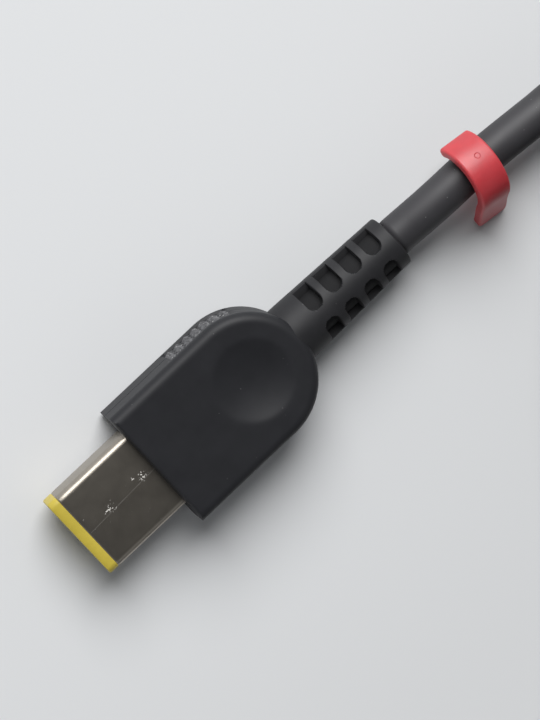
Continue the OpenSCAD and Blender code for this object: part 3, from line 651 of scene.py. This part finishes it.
shellPiece = place(makeShell(), "root", "shell_metal", "plug_shell")
rimPiece = place(makeRim(), "root", "rim_plastic", "plug_rim")


def shellFinish():
    m = finish("nickel plate", (0.395, 0.36, 0.31), 0.35, vary=0.03, roughVary=0.035, scale=500,
               metallic=1.0)
    tree = m.node_tree
    top = plugPlace["lineZ"] + shell["height"] / 2
    stretch = placedNode(tree, "ShaderNodeMapping", {"Scale": (500, 9000, 9000)})
    lines = addNode(tree, "ShaderNodeTexNoise", {"Scale": 1, "Detail": 2})
    bump = addNode(tree, "ShaderNodeBump", {"Distance": 0.0000022})
    connect(tree, (stretch, "Vector", lines, "Vector"), (lines, "Fac", bump, "Height"),
            (bump, "Normal", tree.nodes["Principled BSDF"], "Normal"))
    for x, y, reach in shell["scuffs"]:
        scuff = putGroup(tree, "scuff", {"Place": mm(x, plugPlace["lineY"] + y, top),
                                         "Reach": reach * millimetre, "Scale": 5000.0, "Level": 0.632})
        layOver(m, scuff.outputs["Mask"], (0.9, 0.88, 0.84), 0.75)
    x, y = shell["scratchAt"]
    line = placedNode(tree, "ShaderNodeMapping", {
        "Location": mm(x, plugPlace["lineY"] + y, top),
        "Rotation": (0, 0, math.radians(shell["scratchTurn"])),
        "Scale": mm(*shell["scratchHalf"])}, vector_type="TEXTURE")
    size = addNode(tree, "ShaderNodeVectorMath", operation="ABSOLUTE")
    parts = addNode(tree, "ShaderNodeSeparateXYZ")
    larger, largest = mathNode(tree, "MAXIMUM"), mathNode(tree, "MAXIMUM")
    inside, broken = mathNode(tree, "LESS_THAN", {1: 1}), mathNode(tree, "MULTIPLY")
    connect(tree, (line, "Vector", size, 0), (size, "Vector", parts, "Vector"),
            (parts, "X", larger, 0), (parts, "Y", larger, 1), (larger, "Value", largest, 0),
            (parts, "Z", largest, 1), (largest, "Value", inside, 0), (inside, "Value", broken, 0),
            (lines, "Fac", broken, 1))
    layOver(m, broken.outputs["Value"], (0.55, 0.53, 0.49), 0.5)
    return m


dress(shellPiece, shellFinish())
rimFinish = finish("yellow rim", (0.50, 0.395, 0.05), 0.42, vary=0.05, roughVary=0.05, scale=400,
                   grain=5000, depth=0.000002, coat=0.1)
dress(rimPiece, rimFinish)
print("shell and rim ready")


# strain reliefs: one at the plug, one at the block

reliefs = {
    "plug": {"line": (82.0, 3.9), "rows": 230, "from": 19.4, "length": 15.4, "r1": 3.8, "r2": 3.35,
             "slots": 4, "first": 2.5, "pitch": 3.1, "slot": 2.0, "floor": 2.6, "inside": 2.45,
             "back": 8.2, "root": 2.8, "rib": 12.0},
    "block": {"line": (0.0, 14.75), "rows": 260, "from": 54.05, "length": 25.95, "r1": 5.4, "r2": 3.4,
              "slots": 6, "first": 3.15, "pitch": 3.6, "slot": 2.0, "floor": 3.0, "inside": 2.45,
              "back": 5.65, "root": 4.6, "rib": 12.0},
}


def makeRelief(name, v, sides=144):
    y0, z0 = v["line"]

    def radius(x, angle):
        base, hollow = mix(v["r1"], v["r2"], x / v["length"]), 0.0
        end = v["length"] - x
        if end < 0.25:                    # rounded end
            base -= 0.25 - math.sqrt(max(0, 0.0625 - (0.25 - end) ** 2))
        flank = min(abs(angle), abs(math.pi - abs(angle)))
        middle = math.radians(75) - v["slot"] / 2 / base
        ribSide = base * (flank - math.radians(v["rib"]))
        for i in range(v["slots"]):
            dx = x - (v["first"] + i * v["pitch"] + v["slot"] / 2)
            if abs(dx) < v["slot"]:
                d = math.hypot(dx, base * max(0, flank - middle))
                share = smooth((v["slot"] / 2 + 0.08 - d) / 0.16) * smooth((ribSide + 0.08) / 0.16)
                base = mix(base, v["floor"], share)
                hollow = max(hollow, share)
        return base, hollow

    xs = [-0.9 + (v["length"] + 0.9) * i / v["rows"] for i in range(v["rows"] + 1)]
    xs += [v["length"] - 0.12, v["length"] - 0.04]
    turns = [-math.pi + 2 * math.pi * (k + 0.5) / sides for k in range(sides)]

    def hoop(x, radii):
        return [mm(x, y0 + r * math.cos(a), z0 + r * math.sin(a)) for r, a in zip(radii, turns)]

    def plain(x, r):
        return hoop(x, [r] * sides)

    rings, hollows = [], []
    for x in sorted(xs):
        found = [radius(max(x, 0), a) for a in turns]
        hollows += [hollow for _, hollow in found]
        rings.append(hoop(v["from"] + x, [r for r, _ in found]))
    back = v["from"] - v["back"]
    end = v["from"] + v["length"]
    rings = [plain(back, v["inside"]), plain(back, v["root"]), plain(v["from"] - 0.9, v["root"])] + rings
    rings += [plain(end, v["inside"] + 0.1), plain(end - 0.15, v["inside"])]
    thing = skin(name, rings, True)
    hollows = [0.0] * 3 * sides + hollows + [0.0] * 2 * sides
    # hollow: how far each point lies in a slot floor; it masks the painted shade there
    thing.data.attributes.new("hollow", "FLOAT", "POINT").data.foreach_set("value", hollows)
    return sharpen(outward(thing), 45)


reliefPiece = place(makeRelief("plug_relief_moulding", reliefs["plug"]), "root", "grip_rubber",
                    "plug_strain_relief")
glandPiece = place(makeRelief("gland_moulding", reliefs["block"]), "root", "gland_rubber", "lead_gland")
reliefFinish = finish("soft black rubber", (0.0165, 0.0165, 0.0185), 0.55, vary=0.10, roughVary=0.08,
                      scale=300, grain=7000, depth=0.000006, specular=0.34,
                      dustAndGlints=(900, 0.05, (0.10, 0.10, 0.10)))
# painted shade: the slot floors are darkened, as if shadowed, where the hollow share is 1
slotShade = reliefFinish.node_tree.nodes.new("ShaderNodeAttribute")
slotShade.attribute_name = "hollow"
layOver(reliefFinish, slotShade.outputs["Fac"], (0.007, 0.007, 0.008), 0.8)
dress(reliefPiece, reliefFinish)
dress(glandPiece, reliefFinish)
print("reliefs ready")


# clip: most of a ring, with one straight arm

clip = {
    "place": (46.8, 81.58, 4.89),
    "ring": 4.65,
    "thickness": 1.25,
    "width": 4.2,
    "near": 103.0,
    "far": 45.0,
    "arm": 6.6,
    "armShift": 0.8,      # of the arm's end, away from the plug
    "lean": 9.0,
    "turn": 9.0,
    "roll": 21.0,
    "edge": 0.3,
    "endRound": 0.7,
    "markAngle": 42.0,
}


def clipPlace():
    turn = (Matrix.Rotation(math.radians(-clip["turn"]), 4, "Z")
            @ Matrix.Rotation(math.radians(clip["lean"]), 4, "Y")
            @ Matrix.Rotation(math.radians(clip["roll"]), 4, "X"))
    upright = Matrix(((0, 0, 1, 0), (1, 0, 0, 0), (0, 1, 0, 0), (0, 0, 0, 1)))
    return Matrix.Translation(Vector(clip["place"])) @ turn @ upright


def makeClip():
    c = clip
    bore, half = c["ring"] - c["thickness"], c["width"] / 2
    stations = []                         # (point, outward) along the strip
    total = c["near"] + c["far"]
    steps = 90
    for i in range(steps + 1):
        a = math.radians(90 - c["near"] + total * i / steps)
        n = Vector((math.cos(a), math.sin(a), 0))
        stations.append((n * bore, n))
    tangent = Vector((-n.y, n.x, 0))
    start = n * bore
    stations += [(start + tangent * c["arm"] * i / 40, n) for i in range(1, 41)]
    lengths = [0.0]
    for a, b in zip(stations, stations[1:]):
        lengths.append(lengths[-1] + (b[0] - a[0]).length)
    rings = []
    e = c["edge"]
    for (p, n), run in zip(stations, lengths):
        left = lengths[-1] - run
        w = half
        if left < c["endRound"]:
            w = half - c["endRound"] + math.sqrt(max(0, c["endRound"] ** 2 - (c["endRound"] - left) ** 2))
        w = max(w, half - c["endRound"] + 0.02)
        thin = 1.0
        for reach in (left, run):         # the ends are a little thinner
            if reach < e:
                thin = min(thin, 1 - 0.5 * (1 - math.sqrt(max(0, 1 - (1 - reach / e) ** 2))) * e / 0.6)
        section = roundedSection(2 * w, c["thickness"] * thin, e, 5)
        shift = c["armShift"] * smooth(1 - left / c["arm"])
        rings.append([p + n * (c["thickness"] / 2 + depth) + Vector((0, 0, across + shift))
                      for across, depth in section])
    whole = clipPlace()
    rings = [[(whole @ p) * millimetre for p in ring] for ring in rings]
    return sharpen(outward(skin("clip_moulding", rings)), 60)


clipPiece = place(makeClip(), "clip", "clip_plastic", "lead_clip")
clipFinish = finish("red plastic", (0.50, 0.045, 0.056), 0.42, vary=0.06, roughVary=0.06, scale=300,
                    grain=4000, depth=0.000003, specular=0.65)
setInputs(clipFinish.node_tree.nodes["Principled BSDF"], {
    "Subsurface Weight": 0.6, "Subsurface Radius": (1.0, 0.25, 0.25), "Subsurface Scale": 0.0022})


def addMark(m, place, radius, depth):
    # a small round moulding mark, a little lower than the surface
    tree = m.node_tree
    normal = tree.nodes["Principled BSDF"].inputs["Normal"]
    dot = putGroup(tree, "dot", {"Place": place, "Inner": radius * 0.75 * millimetre,
                                 "Outer": radius * millimetre})
    bump = addNode(tree, "ShaderNodeBump", {"Distance": depth * millimetre}, invert=True)
    tree.links.new(dot.outputs["Mask"], bump.inputs["Height"])
    tree.links.new(normal.links[0].from_socket, bump.inputs["Normal"])
    tree.links.new(bump.outputs["Normal"], normal)


markAngle = math.radians(clip["markAngle"])
markPoint = Vector((clip["ring"] * math.cos(markAngle), clip["ring"] * math.sin(markAngle), 0.2))
addMark(clipFinish, clipPlace() @ markPoint * millimetre, 0.38, 0.12)
dress(clipPiece, clipFinish)
print("clip ready")


# lead jacket

jacketFinish = finish("lead jacket", (0.034, 0.033, 0.0365), 0.55, vary=0.06, roughVary=0.08, scale=220,
                      grain=6000, depth=0.000004, specular=0.5, dustAndGlints=(800, 0.05, (0.14, 0.14, 0.14)))
dress(leadPiece, jacketFinish)


# hook-and-loop straps round the bundle

strap = {
    "angles": (45.0, 225.0),
    "middle": (81.0, 49.4, 11.7),
    "radius": 25.81,      # of the bundle's middle
    "slack": 0.12,        # between the turns and the band
    "thickness": 1.0,
    "width": 10.0,
    "tail": 13.0,
    "tailThickness": 0.85,
    "tailLift": 0.9,
}


def turnCentres(angle):
    # where the turns cross the strap's plane: (outwards, up) from the bundle's middle
    centres = []
    turn = (90 - angle) / 360
    while turn <= lead["coilTurns"]:
        if turn >= 0:
            p = coilPoint(turn) / millimetre
            away = math.hypot(p.x - strap["middle"][0], p.y - strap["middle"][1])
            centres.append((away - strap["radius"], p.z - strap["middle"][2]))
        turn += 1
    return centres


def hull(points):
    # convex outline, anticlockwise
    def half(order):
        chain = []
        for p in order:
            while len(chain) > 1:
                (ax, ay), (bx, by) = chain[-2:]
                if (bx - ax) * (p[1] - ay) - (by - ay) * (p[0] - ax) > 0:
                    break
                chain.pop()
            chain.append(p)
        return chain[:-1]
    order = sorted(points)
    return half(order) + half(order[::-1])


def strapOutline(angle, reach):
    # closed path at the given distance round the outermost turns
    corners = hull(turnCentres(angle))
    path = []
    for i, (x, y) in enumerate(corners):
        bx, by = corners[i - 1]
        ax, ay = corners[(i + 1) % len(corners)]
        first = math.atan2(y - by, x - bx) - math.pi / 2
        bend = (math.atan2(ay - y, ax - x) - math.pi / 2 - first) % (2 * math.pi)
        steps = max(1, round(bend / 0.16))
        path += [(x + reach * math.cos(first + bend * k / steps),
                  y + reach * math.sin(first + bend * k / steps))
                 for k in range(steps + 1)]
        sx, sy = path[-1]
        cuts = max(1, round(math.hypot(ax - x, ay - y) / 0.5))
        path += [(sx + (ax - x) * k / cuts, sy + (ay - y) * k / cuts) for k in range(1, cuts)]
    return path


def bandPiece(name, path, closed, angle, thickness, width):
    # a woven band of even width along the path; the texture runs along and across it in millimetres
    n = len(path)
    a = math.radians(angle)
    out, side = Vector((math.cos(a), math.sin(a), 0)), Vector((-math.sin(a), math.cos(a), 0))
    middle = mm(*strap["middle"]) + out * strap["radius"] * millimetre
    t, b = thickness / 2, width / 2
    corners = roundedSection(width, thickness, t * 0.8, 3)
    flat = [((b - t * 0.8) * (1 - k / 5), t) for k in range(1, 10)]
    section = corners[:4] + flat + corners[4:12] + [(-w, -q) for w, q in flat] + corners[12:]
    rings, alongs, run = [], [], 0.0
    for i in range(n):
        before = path[i - 1] if i or closed else path[i]
        after = path[(i + 1) % n] if i < n - 1 or closed else path[i]
        dx, dy = after[0] - before[0], after[1] - before[1]
        size = math.hypot(dx, dy)
        nx, ny = dy / size, -dx / size
        x, y = path[i]
        rings.append([middle + out * (x + nx * q) * millimetre + Vector((0, 0, (y + ny * q) * millimetre))
                      + side * w * millimetre for w, q in section])
        alongs.append(run)
        if i < n - 1:
            run += math.hypot(path[i + 1][0] - x, path[i + 1][1] - y)
    m = len(section)
    thing = skin(name, rings, closed)
    layer = thing.data.uv_layers.new(name="weave")
    for loop in thing.data.loops:
        i, k = divmod(loop.vertex_index, m)
        layer.data[loop.index].uv = (alongs[i], section[k][0])
    return outward(thing), run


def makeWeave():
    # plain weave from the band's own coordinates, and loose loops over it; the mask is their height, which
    # drives painted shade and painted highlight
    g, a, b = nodeGroup("weave", {"Threads": "Float", "Depth": "Float"},
                        {"Normal": "Vector", "Mask": "Float"})
    across = addNode(g, "ShaderNodeUVMap", uv_map="weave")
    axes = addNode(g, "ShaderNodeSeparateXYZ")
    cross = mathNode(g, "MULTIPLY")
    connect(g, (across, "UV", axes, "Vector"))
    for i, axis in enumerate(("X", "Y")):
        scaled = mathNode(g, "MULTIPLY")
        turns = mathNode(g, "MULTIPLY", {1: 2 * math.pi})
        wave = mathNode(g, "SINE")
        connect(g, (axes, axis, scaled, 0), (a, "Threads", scaled, 1), (scaled, "Value", turns, 0),
                (turns, "Value", wave, 0), (wave, "Value", cross, i))
    loops = placedNode(g, "ShaderNodeTexNoise", {"Scale": 2600, "Detail": 4})
    both = mathNode(g, "MULTIPLY_ADD", {1: 0.35})
    bump = addNode(g, "ShaderNodeBump")
    mask = addNode(g, "ShaderNodeMapRange", {"From Min": -0.2, "From Max": 1.1})
    connect(g, (cross, "Value", both, 0), (loops, "Fac", both, 2), (both, "Value", bump, "Height"),
            (both, "Value", mask, "Value"), (a, "Depth", bump, "Distance"), (bump, "Normal", b, "Normal"),
            (mask, "Result", b, "Mask"))
    return g


def wovenFinish(name, color, threads, depth):
    m, tree, shader = newMaterial(name, {"Roughness": 0.92, "Sheen Weight": 0.35, "Sheen Roughness": 0.5})
    weave = putGroup(tree, "weave", {"Threads": threads, "Depth": depth})
    # painted shade and painted highlight: the colour is darker in the low places of the weave and lighter
    # on the raised threads
    weaveShadeAndHighlight = addNode(tree, "ShaderNodeMix", {6: (*(c * 0.45 for c in color), 1),
                                             7: (*(min(1, c * 1.7) for c in color), 1)}, data_type="RGBA")
    connect(tree, (weave, "Mask", weaveShadeAndHighlight, "Factor"), (weaveShadeAndHighlight, 2, shader, "Base Color"),
            (weave, "Normal", shader, "Normal"))
    return m


def makeStrap(angle):
    # one turn of band with its loose end laid over the outer corner of the top
    t = strap["thickness"]
    reach = lead["diameter"] / 2 + strap["slack"]
    body, around = bandPiece("bundle_strap_%d" % angle, strapOutline(angle, reach + t / 2), True, angle, t,
                             strap["width"])
    over = strapOutline(angle, reach + t + strap["tailThickness"] / 2 + 0.02)
    top = min(range(len(over)), key=lambda i: abs(over[i][0]) - over[i][1] * 0.5)
    tail, run = [over[top]], 0.0
    while run < strap["tail"]:            # back over the outer corner
        top -= 1
        run += math.hypot(over[top][0] - tail[-1][0], over[top][1] - tail[-1][1])
        tail.append(over[top])
    lifted = [(x, y + strap["tailLift"] * max(0, 1 - i / 7) ** 2) for i, (x, y) in enumerate(tail)]
    end, length = bandPiece("tail", lifted, False, angle, strap["tailThickness"], strap["width"] - 0.4)
    return joinInto(body, end), around + length


groups["weave"] = makeWeave()
strapFinish = wovenFinish("hook-and-loop tape", (0.030, 0.030, 0.032), 1.6, 0.00009)
for angle in strap["angles"]:
    strapPiece, strapLength = makeStrap(angle)
    dress(place(strapPiece, "root", "tie_fabric", "bundle_ties"), strapFinish)
    print("strap:", round(strapLength, 1), "mm")


# the exact pieces that stay as they are: one look for each slot

def makeRidges(axis):
    # even ridges along one axis, for wound wire and drawn metal
    g, a, b = nodeGroup("ridges " + axis, {"Scale": "Float", "Depth": "Float"}, {"Normal": "Vector"})
    wave = placedNode(g, "ShaderNodeTexWave", {"Distortion": 0.4}, bands_direction=axis)
    bump = addNode(g, "ShaderNodeBump")
    connect(g, (a, "Scale", wave, "Scale"), (wave, "Fac", bump, "Height"), (a, "Depth", bump, "Distance"),
            (bump, "Normal", b, "Normal"))
    return g


for axis in ("X", "Y", "Z"):
    groups["ridges " + axis] = makeRidges(axis)


def addRidges(m, axis, perMetre, depth):
    ridges = putGroup(m.node_tree, "ridges " + axis, {"Scale": perMetre, "Depth": depth})
    connect(m.node_tree, (ridges, "Normal", m.node_tree.nodes["Principled BSDF"], "Normal"))
    return m


def boardFinish():
    # solder mask over lighter tracks, with small plated holes
    m = finish("solder mask", (0.020, 0.115, 0.045), 0.28, vary=0.1, roughVary=0.05, scale=90, grain=4000,
               depth=0.000004, coat=0.3, dustAndGlints=(420, 0.16, (0.52, 0.50, 0.42)))
    tree = m.node_tree
    cells = placedNode(tree, "ShaderNodeTexVoronoi", {"Scale": 160}, distance="MANHATTAN")
    lines = mathNode(tree, "PINGPONG", {1: 0.1})
    tracks = addNode(tree, "ShaderNodeMapRange", {"From Min": 0.055, "From Max": 0.065})
    connect(tree, (cells, "Distance", lines, 0), (lines, "Value", tracks, "Value"))
    mixOver(m, "Base Color", tracks.outputs["Result"], (0.05, 0.22, 0.08, 1))
    return m


def clearFinish(name, color, rough):
    m = finish(name, color, rough, vary=0.05, roughVary=0.03, scale=300, grain=2500, depth=0.000002,
               coat=0.3)
    m.node_tree.nodes["Principled BSDF"].inputs["Transmission Weight"].default_value = 0.6
    return m


def drawnMetal(name, color, rough, axis):
    return addRidges(finish(name, color, rough, vary=0.08, roughVary=0.06, scale=350, metallic=1.0), axis,
                     9000, 0.0000012)


def wire(name, color):
    return finish(name, color, 0.38, vary=0.08, roughVary=0.06, scale=260, grain=3500, depth=0.000006,
                  coat=0.1, dustAndGlints=(900, 0.06, tuple(min(1, c + 0.12) for c in color)))


slotLooks = {
    "case_plastic": finish("case, fine matt texture", (0.026, 0.0262, 0.028), 0.52, vary=0.06,
                           roughVary=0.06, scale=120, grain=2600, depth=0.000022, specular=0.45,
                           dustAndGlints=(650, 0.05, (0.075, 0.075, 0.078))),
    "inlet_plastic": finish("inlet moulding", (0.012, 0.012, 0.013), 0.34, vary=0.1, roughVary=0.07,
                            scale=300, grain=5200, depth=0.000006),
    "plated_pins": drawnMetal("plated pins", (0.62, 0.60, 0.55), 0.22, "X"),
    "brown_wire": wire("brown insulation", (0.11, 0.040, 0.014)),
    "blue_wire": wire("blue insulation", (0.02, 0.10, 0.42)),
    "earth_wire": wire("green insulation", (0.06, 0.26, 0.03)),
    "red_wire": wire("red insulation", (0.42, 0.02, 0.018)),
    "black_wire": wire("black insulation", (0.018, 0.018, 0.02)),
    "insulation_film": finish("film", (0.72, 0.66, 0.52), 0.25, vary=0.05, roughVary=0.08, scale=90,
                              grain=900, depth=0.00002, coat=0.2),
    "board_laminate": boardFinish(),
    "fuse_body": finish("fuse body", (0.50, 0.47, 0.36), 0.42, scale=320, grain=4200, depth=0.000006),
    "blue_disc": finish("blue dipped resin", (0.012, 0.085, 0.33), 0.3, scale=420, grain=1500,
                        depth=0.00003, coat=0.25),
    "green_disc": finish("green dipped resin", (0.015, 0.05, 0.028), 0.36, scale=420, grain=1500,
                         depth=0.00003, coat=0.2),
    "yellow_box": finish("yellow box", (0.62, 0.40, 0.03), 0.36, vary=0.06, scale=220, grain=5000,
                         depth=0.000006),
    "ferrite": finish("ferrite", (0.030, 0.030, 0.033), 0.62, vary=0.25, scale=900, grain=3200,
                      depth=0.00003, dustAndGlints=(1600, 0.12, (0.09, 0.09, 0.095))),
    "copper_wire": addRidges(finish("enamelled copper", (0.52, 0.17, 0.05), 0.26, vary=0.15, scale=500,
                                    metallic=0.85, coat=0.4), "Z", 420, 0.00012),
    "chip_resin": finish("chip resin", (0.014, 0.014, 0.015), 0.55, vary=0.12, scale=500, grain=4200,
                         depth=0.000012, dustAndGlints=(1500, 0.08, (0.04, 0.04, 0.04))),
    "capacitor_sleeve": finish("shrink sleeve", (0.010, 0.014, 0.045), 0.22, vary=0.12, scale=150,
                               grain=1200, depth=0.000012, coat=0.3),
    "bobbin_plastic": finish("bobbin moulding", (0.016, 0.016, 0.016), 0.5, scale=260, grain=3600,
                             depth=0.00001),
    "winding_tape": addRidges(finish("winding tape", (0.70, 0.44, 0.03), 0.24, vary=0.08, scale=180,
                                     coat=0.35), "Z", 260, 0.00004),
    "sink_aluminium": drawnMetal("sheet aluminium", (0.62, 0.63, 0.65), 0.36, "Z"),
    "pad_silicone": finish("silicone pad", (0.30, 0.34, 0.40), 0.7, vary=0.1, scale=420, grain=2400,
                           depth=0.00002),
    "screw_steel": drawnMetal("zinc-plated steel", (0.50, 0.50, 0.52), 0.32, "Y"),
    "white_resin": finish("white resin", (0.62, 0.62, 0.57), 0.45, vary=0.05, scale=300, grain=4200,
                          depth=0.000008),
    "small_ceramic": finish("fired ceramic", (0.33, 0.26, 0.17), 0.5, vary=0.25, scale=700, grain=3000,
                            depth=0.00001),
    "led_lens": clearFinish("led lens", (0.80, 0.80, 0.72), 0.2),
    "clear_plastic": clearFinish("light pipe", (0.66, 0.74, 0.70), 0.16),
    "shield_copper": drawnMetal("copper sheet", (0.66, 0.32, 0.17), 0.34, "X"),
    "lead_jacket": jacketFinish,
    "contact_metal": drawnMetal("plated contact", (0.66, 0.58, 0.38), 0.24, "X"),
    "rim_plastic": rimFinish,
}
replaced = {"lead_gland", "lead_from_block", "lead_bundle", "lead_to_plug", "bundle_ties",
            "plug_strain_relief", "plug_grip", "plug_rim", "plug_shell", "lead_clip"}
for node, thing in frame["nodes"].items():
    if node not in replaced:
        dress(thing, slotLooks[slotOf[node]])
print("exact pieces dressed:", len(frame["nodes"]) - len(replaced))


# floor and light

studio = {
    "floorColor": (0.7, 0.71, 0.72, 1),
    "floorRough": 0.8,
    "wallColor": (0.96, 0.98, 1.0, 1),
    "ceilingColor": (0.075, 0.077, 0.08, 1),
    "ceilingFrom": 0.35,  # height of a direction: 0 level, 1 straight up
    "ceilingTo": 0.95,
    "strength": 0.49,
    "keyOver": (15.0, 82.0, 0.0),
    "keySide": (-0.25, 0.96),  # right and up as the camera sees it
    "keyReach": 0.9,      # metres
    "keyHeight": 1.0,     # metres
    "keyAim": (15.0, 60.0, 0.0),
    "keySize": 1.0,       # metres
    "keyPower": 19.8,
}


def makeFloor():
    floor = newObject("floor", [(-3, -3, 0), (3, -3, 0), (3, 3, 0), (-3, 3, 0)], [(0, 1, 2, 3)], False)
    dress(floor, newMaterial("floor", {"Base Color": studio["floorColor"],
                                       "Roughness": studio["floorRough"]})[0])


def makeWorld():
    # pale walls all round, a darker ceiling
    world = bpy.data.worlds.new("studio")
    world.use_nodes = True
    tree = world.node_tree
    around = addNode(tree, "ShaderNodeTexCoord")
    axes = addNode(tree, "ShaderNodeSeparateXYZ")
    height = addNode(tree, "ShaderNodeMapRange", {"From Min": studio["ceilingFrom"],
                                                  "From Max": studio["ceilingTo"]},
                     interpolation_type="SMOOTHSTEP")
    shade = addNode(tree, "ShaderNodeMix", data_type="RGBA")
    setInputs(shade, {6: studio["wallColor"], 7: studio["ceilingColor"]})
    sky = setInputs(tree.nodes["Background"], {"Strength": studio["strength"]})
    connect(tree, (around, "Generated", axes, "Vector"), (axes, "Z", height, "Value"),
            (height, "Result", shade, "Factor"), (shade, 2, sky, "Color"))
    scene.world = world


def makeKey():
    data = bpy.data.lights.new("key", "AREA")
    data.shape, data.size, data.energy = "DISK", studio["keySize"], studio["keyPower"]
    right, up = studio["keySide"]
    away = (right * cameraRight + up * cameraUp) * studio["keyReach"]
    place = mm(*studio["keyOver"]) + away + Vector((0, 0, studio["keyHeight"]))
    lamp = bpy.data.objects.new("key", data)
    lamp.location = place
    lamp.rotation_mode = "QUATERNION"
    lamp.rotation_quaternion = (mm(*studio["keyAim"]) - place).to_track_quat("-Z", "Y")
    scene.collection.objects.link(lamp)


makeFloor()
makeWorld()
makeKey()
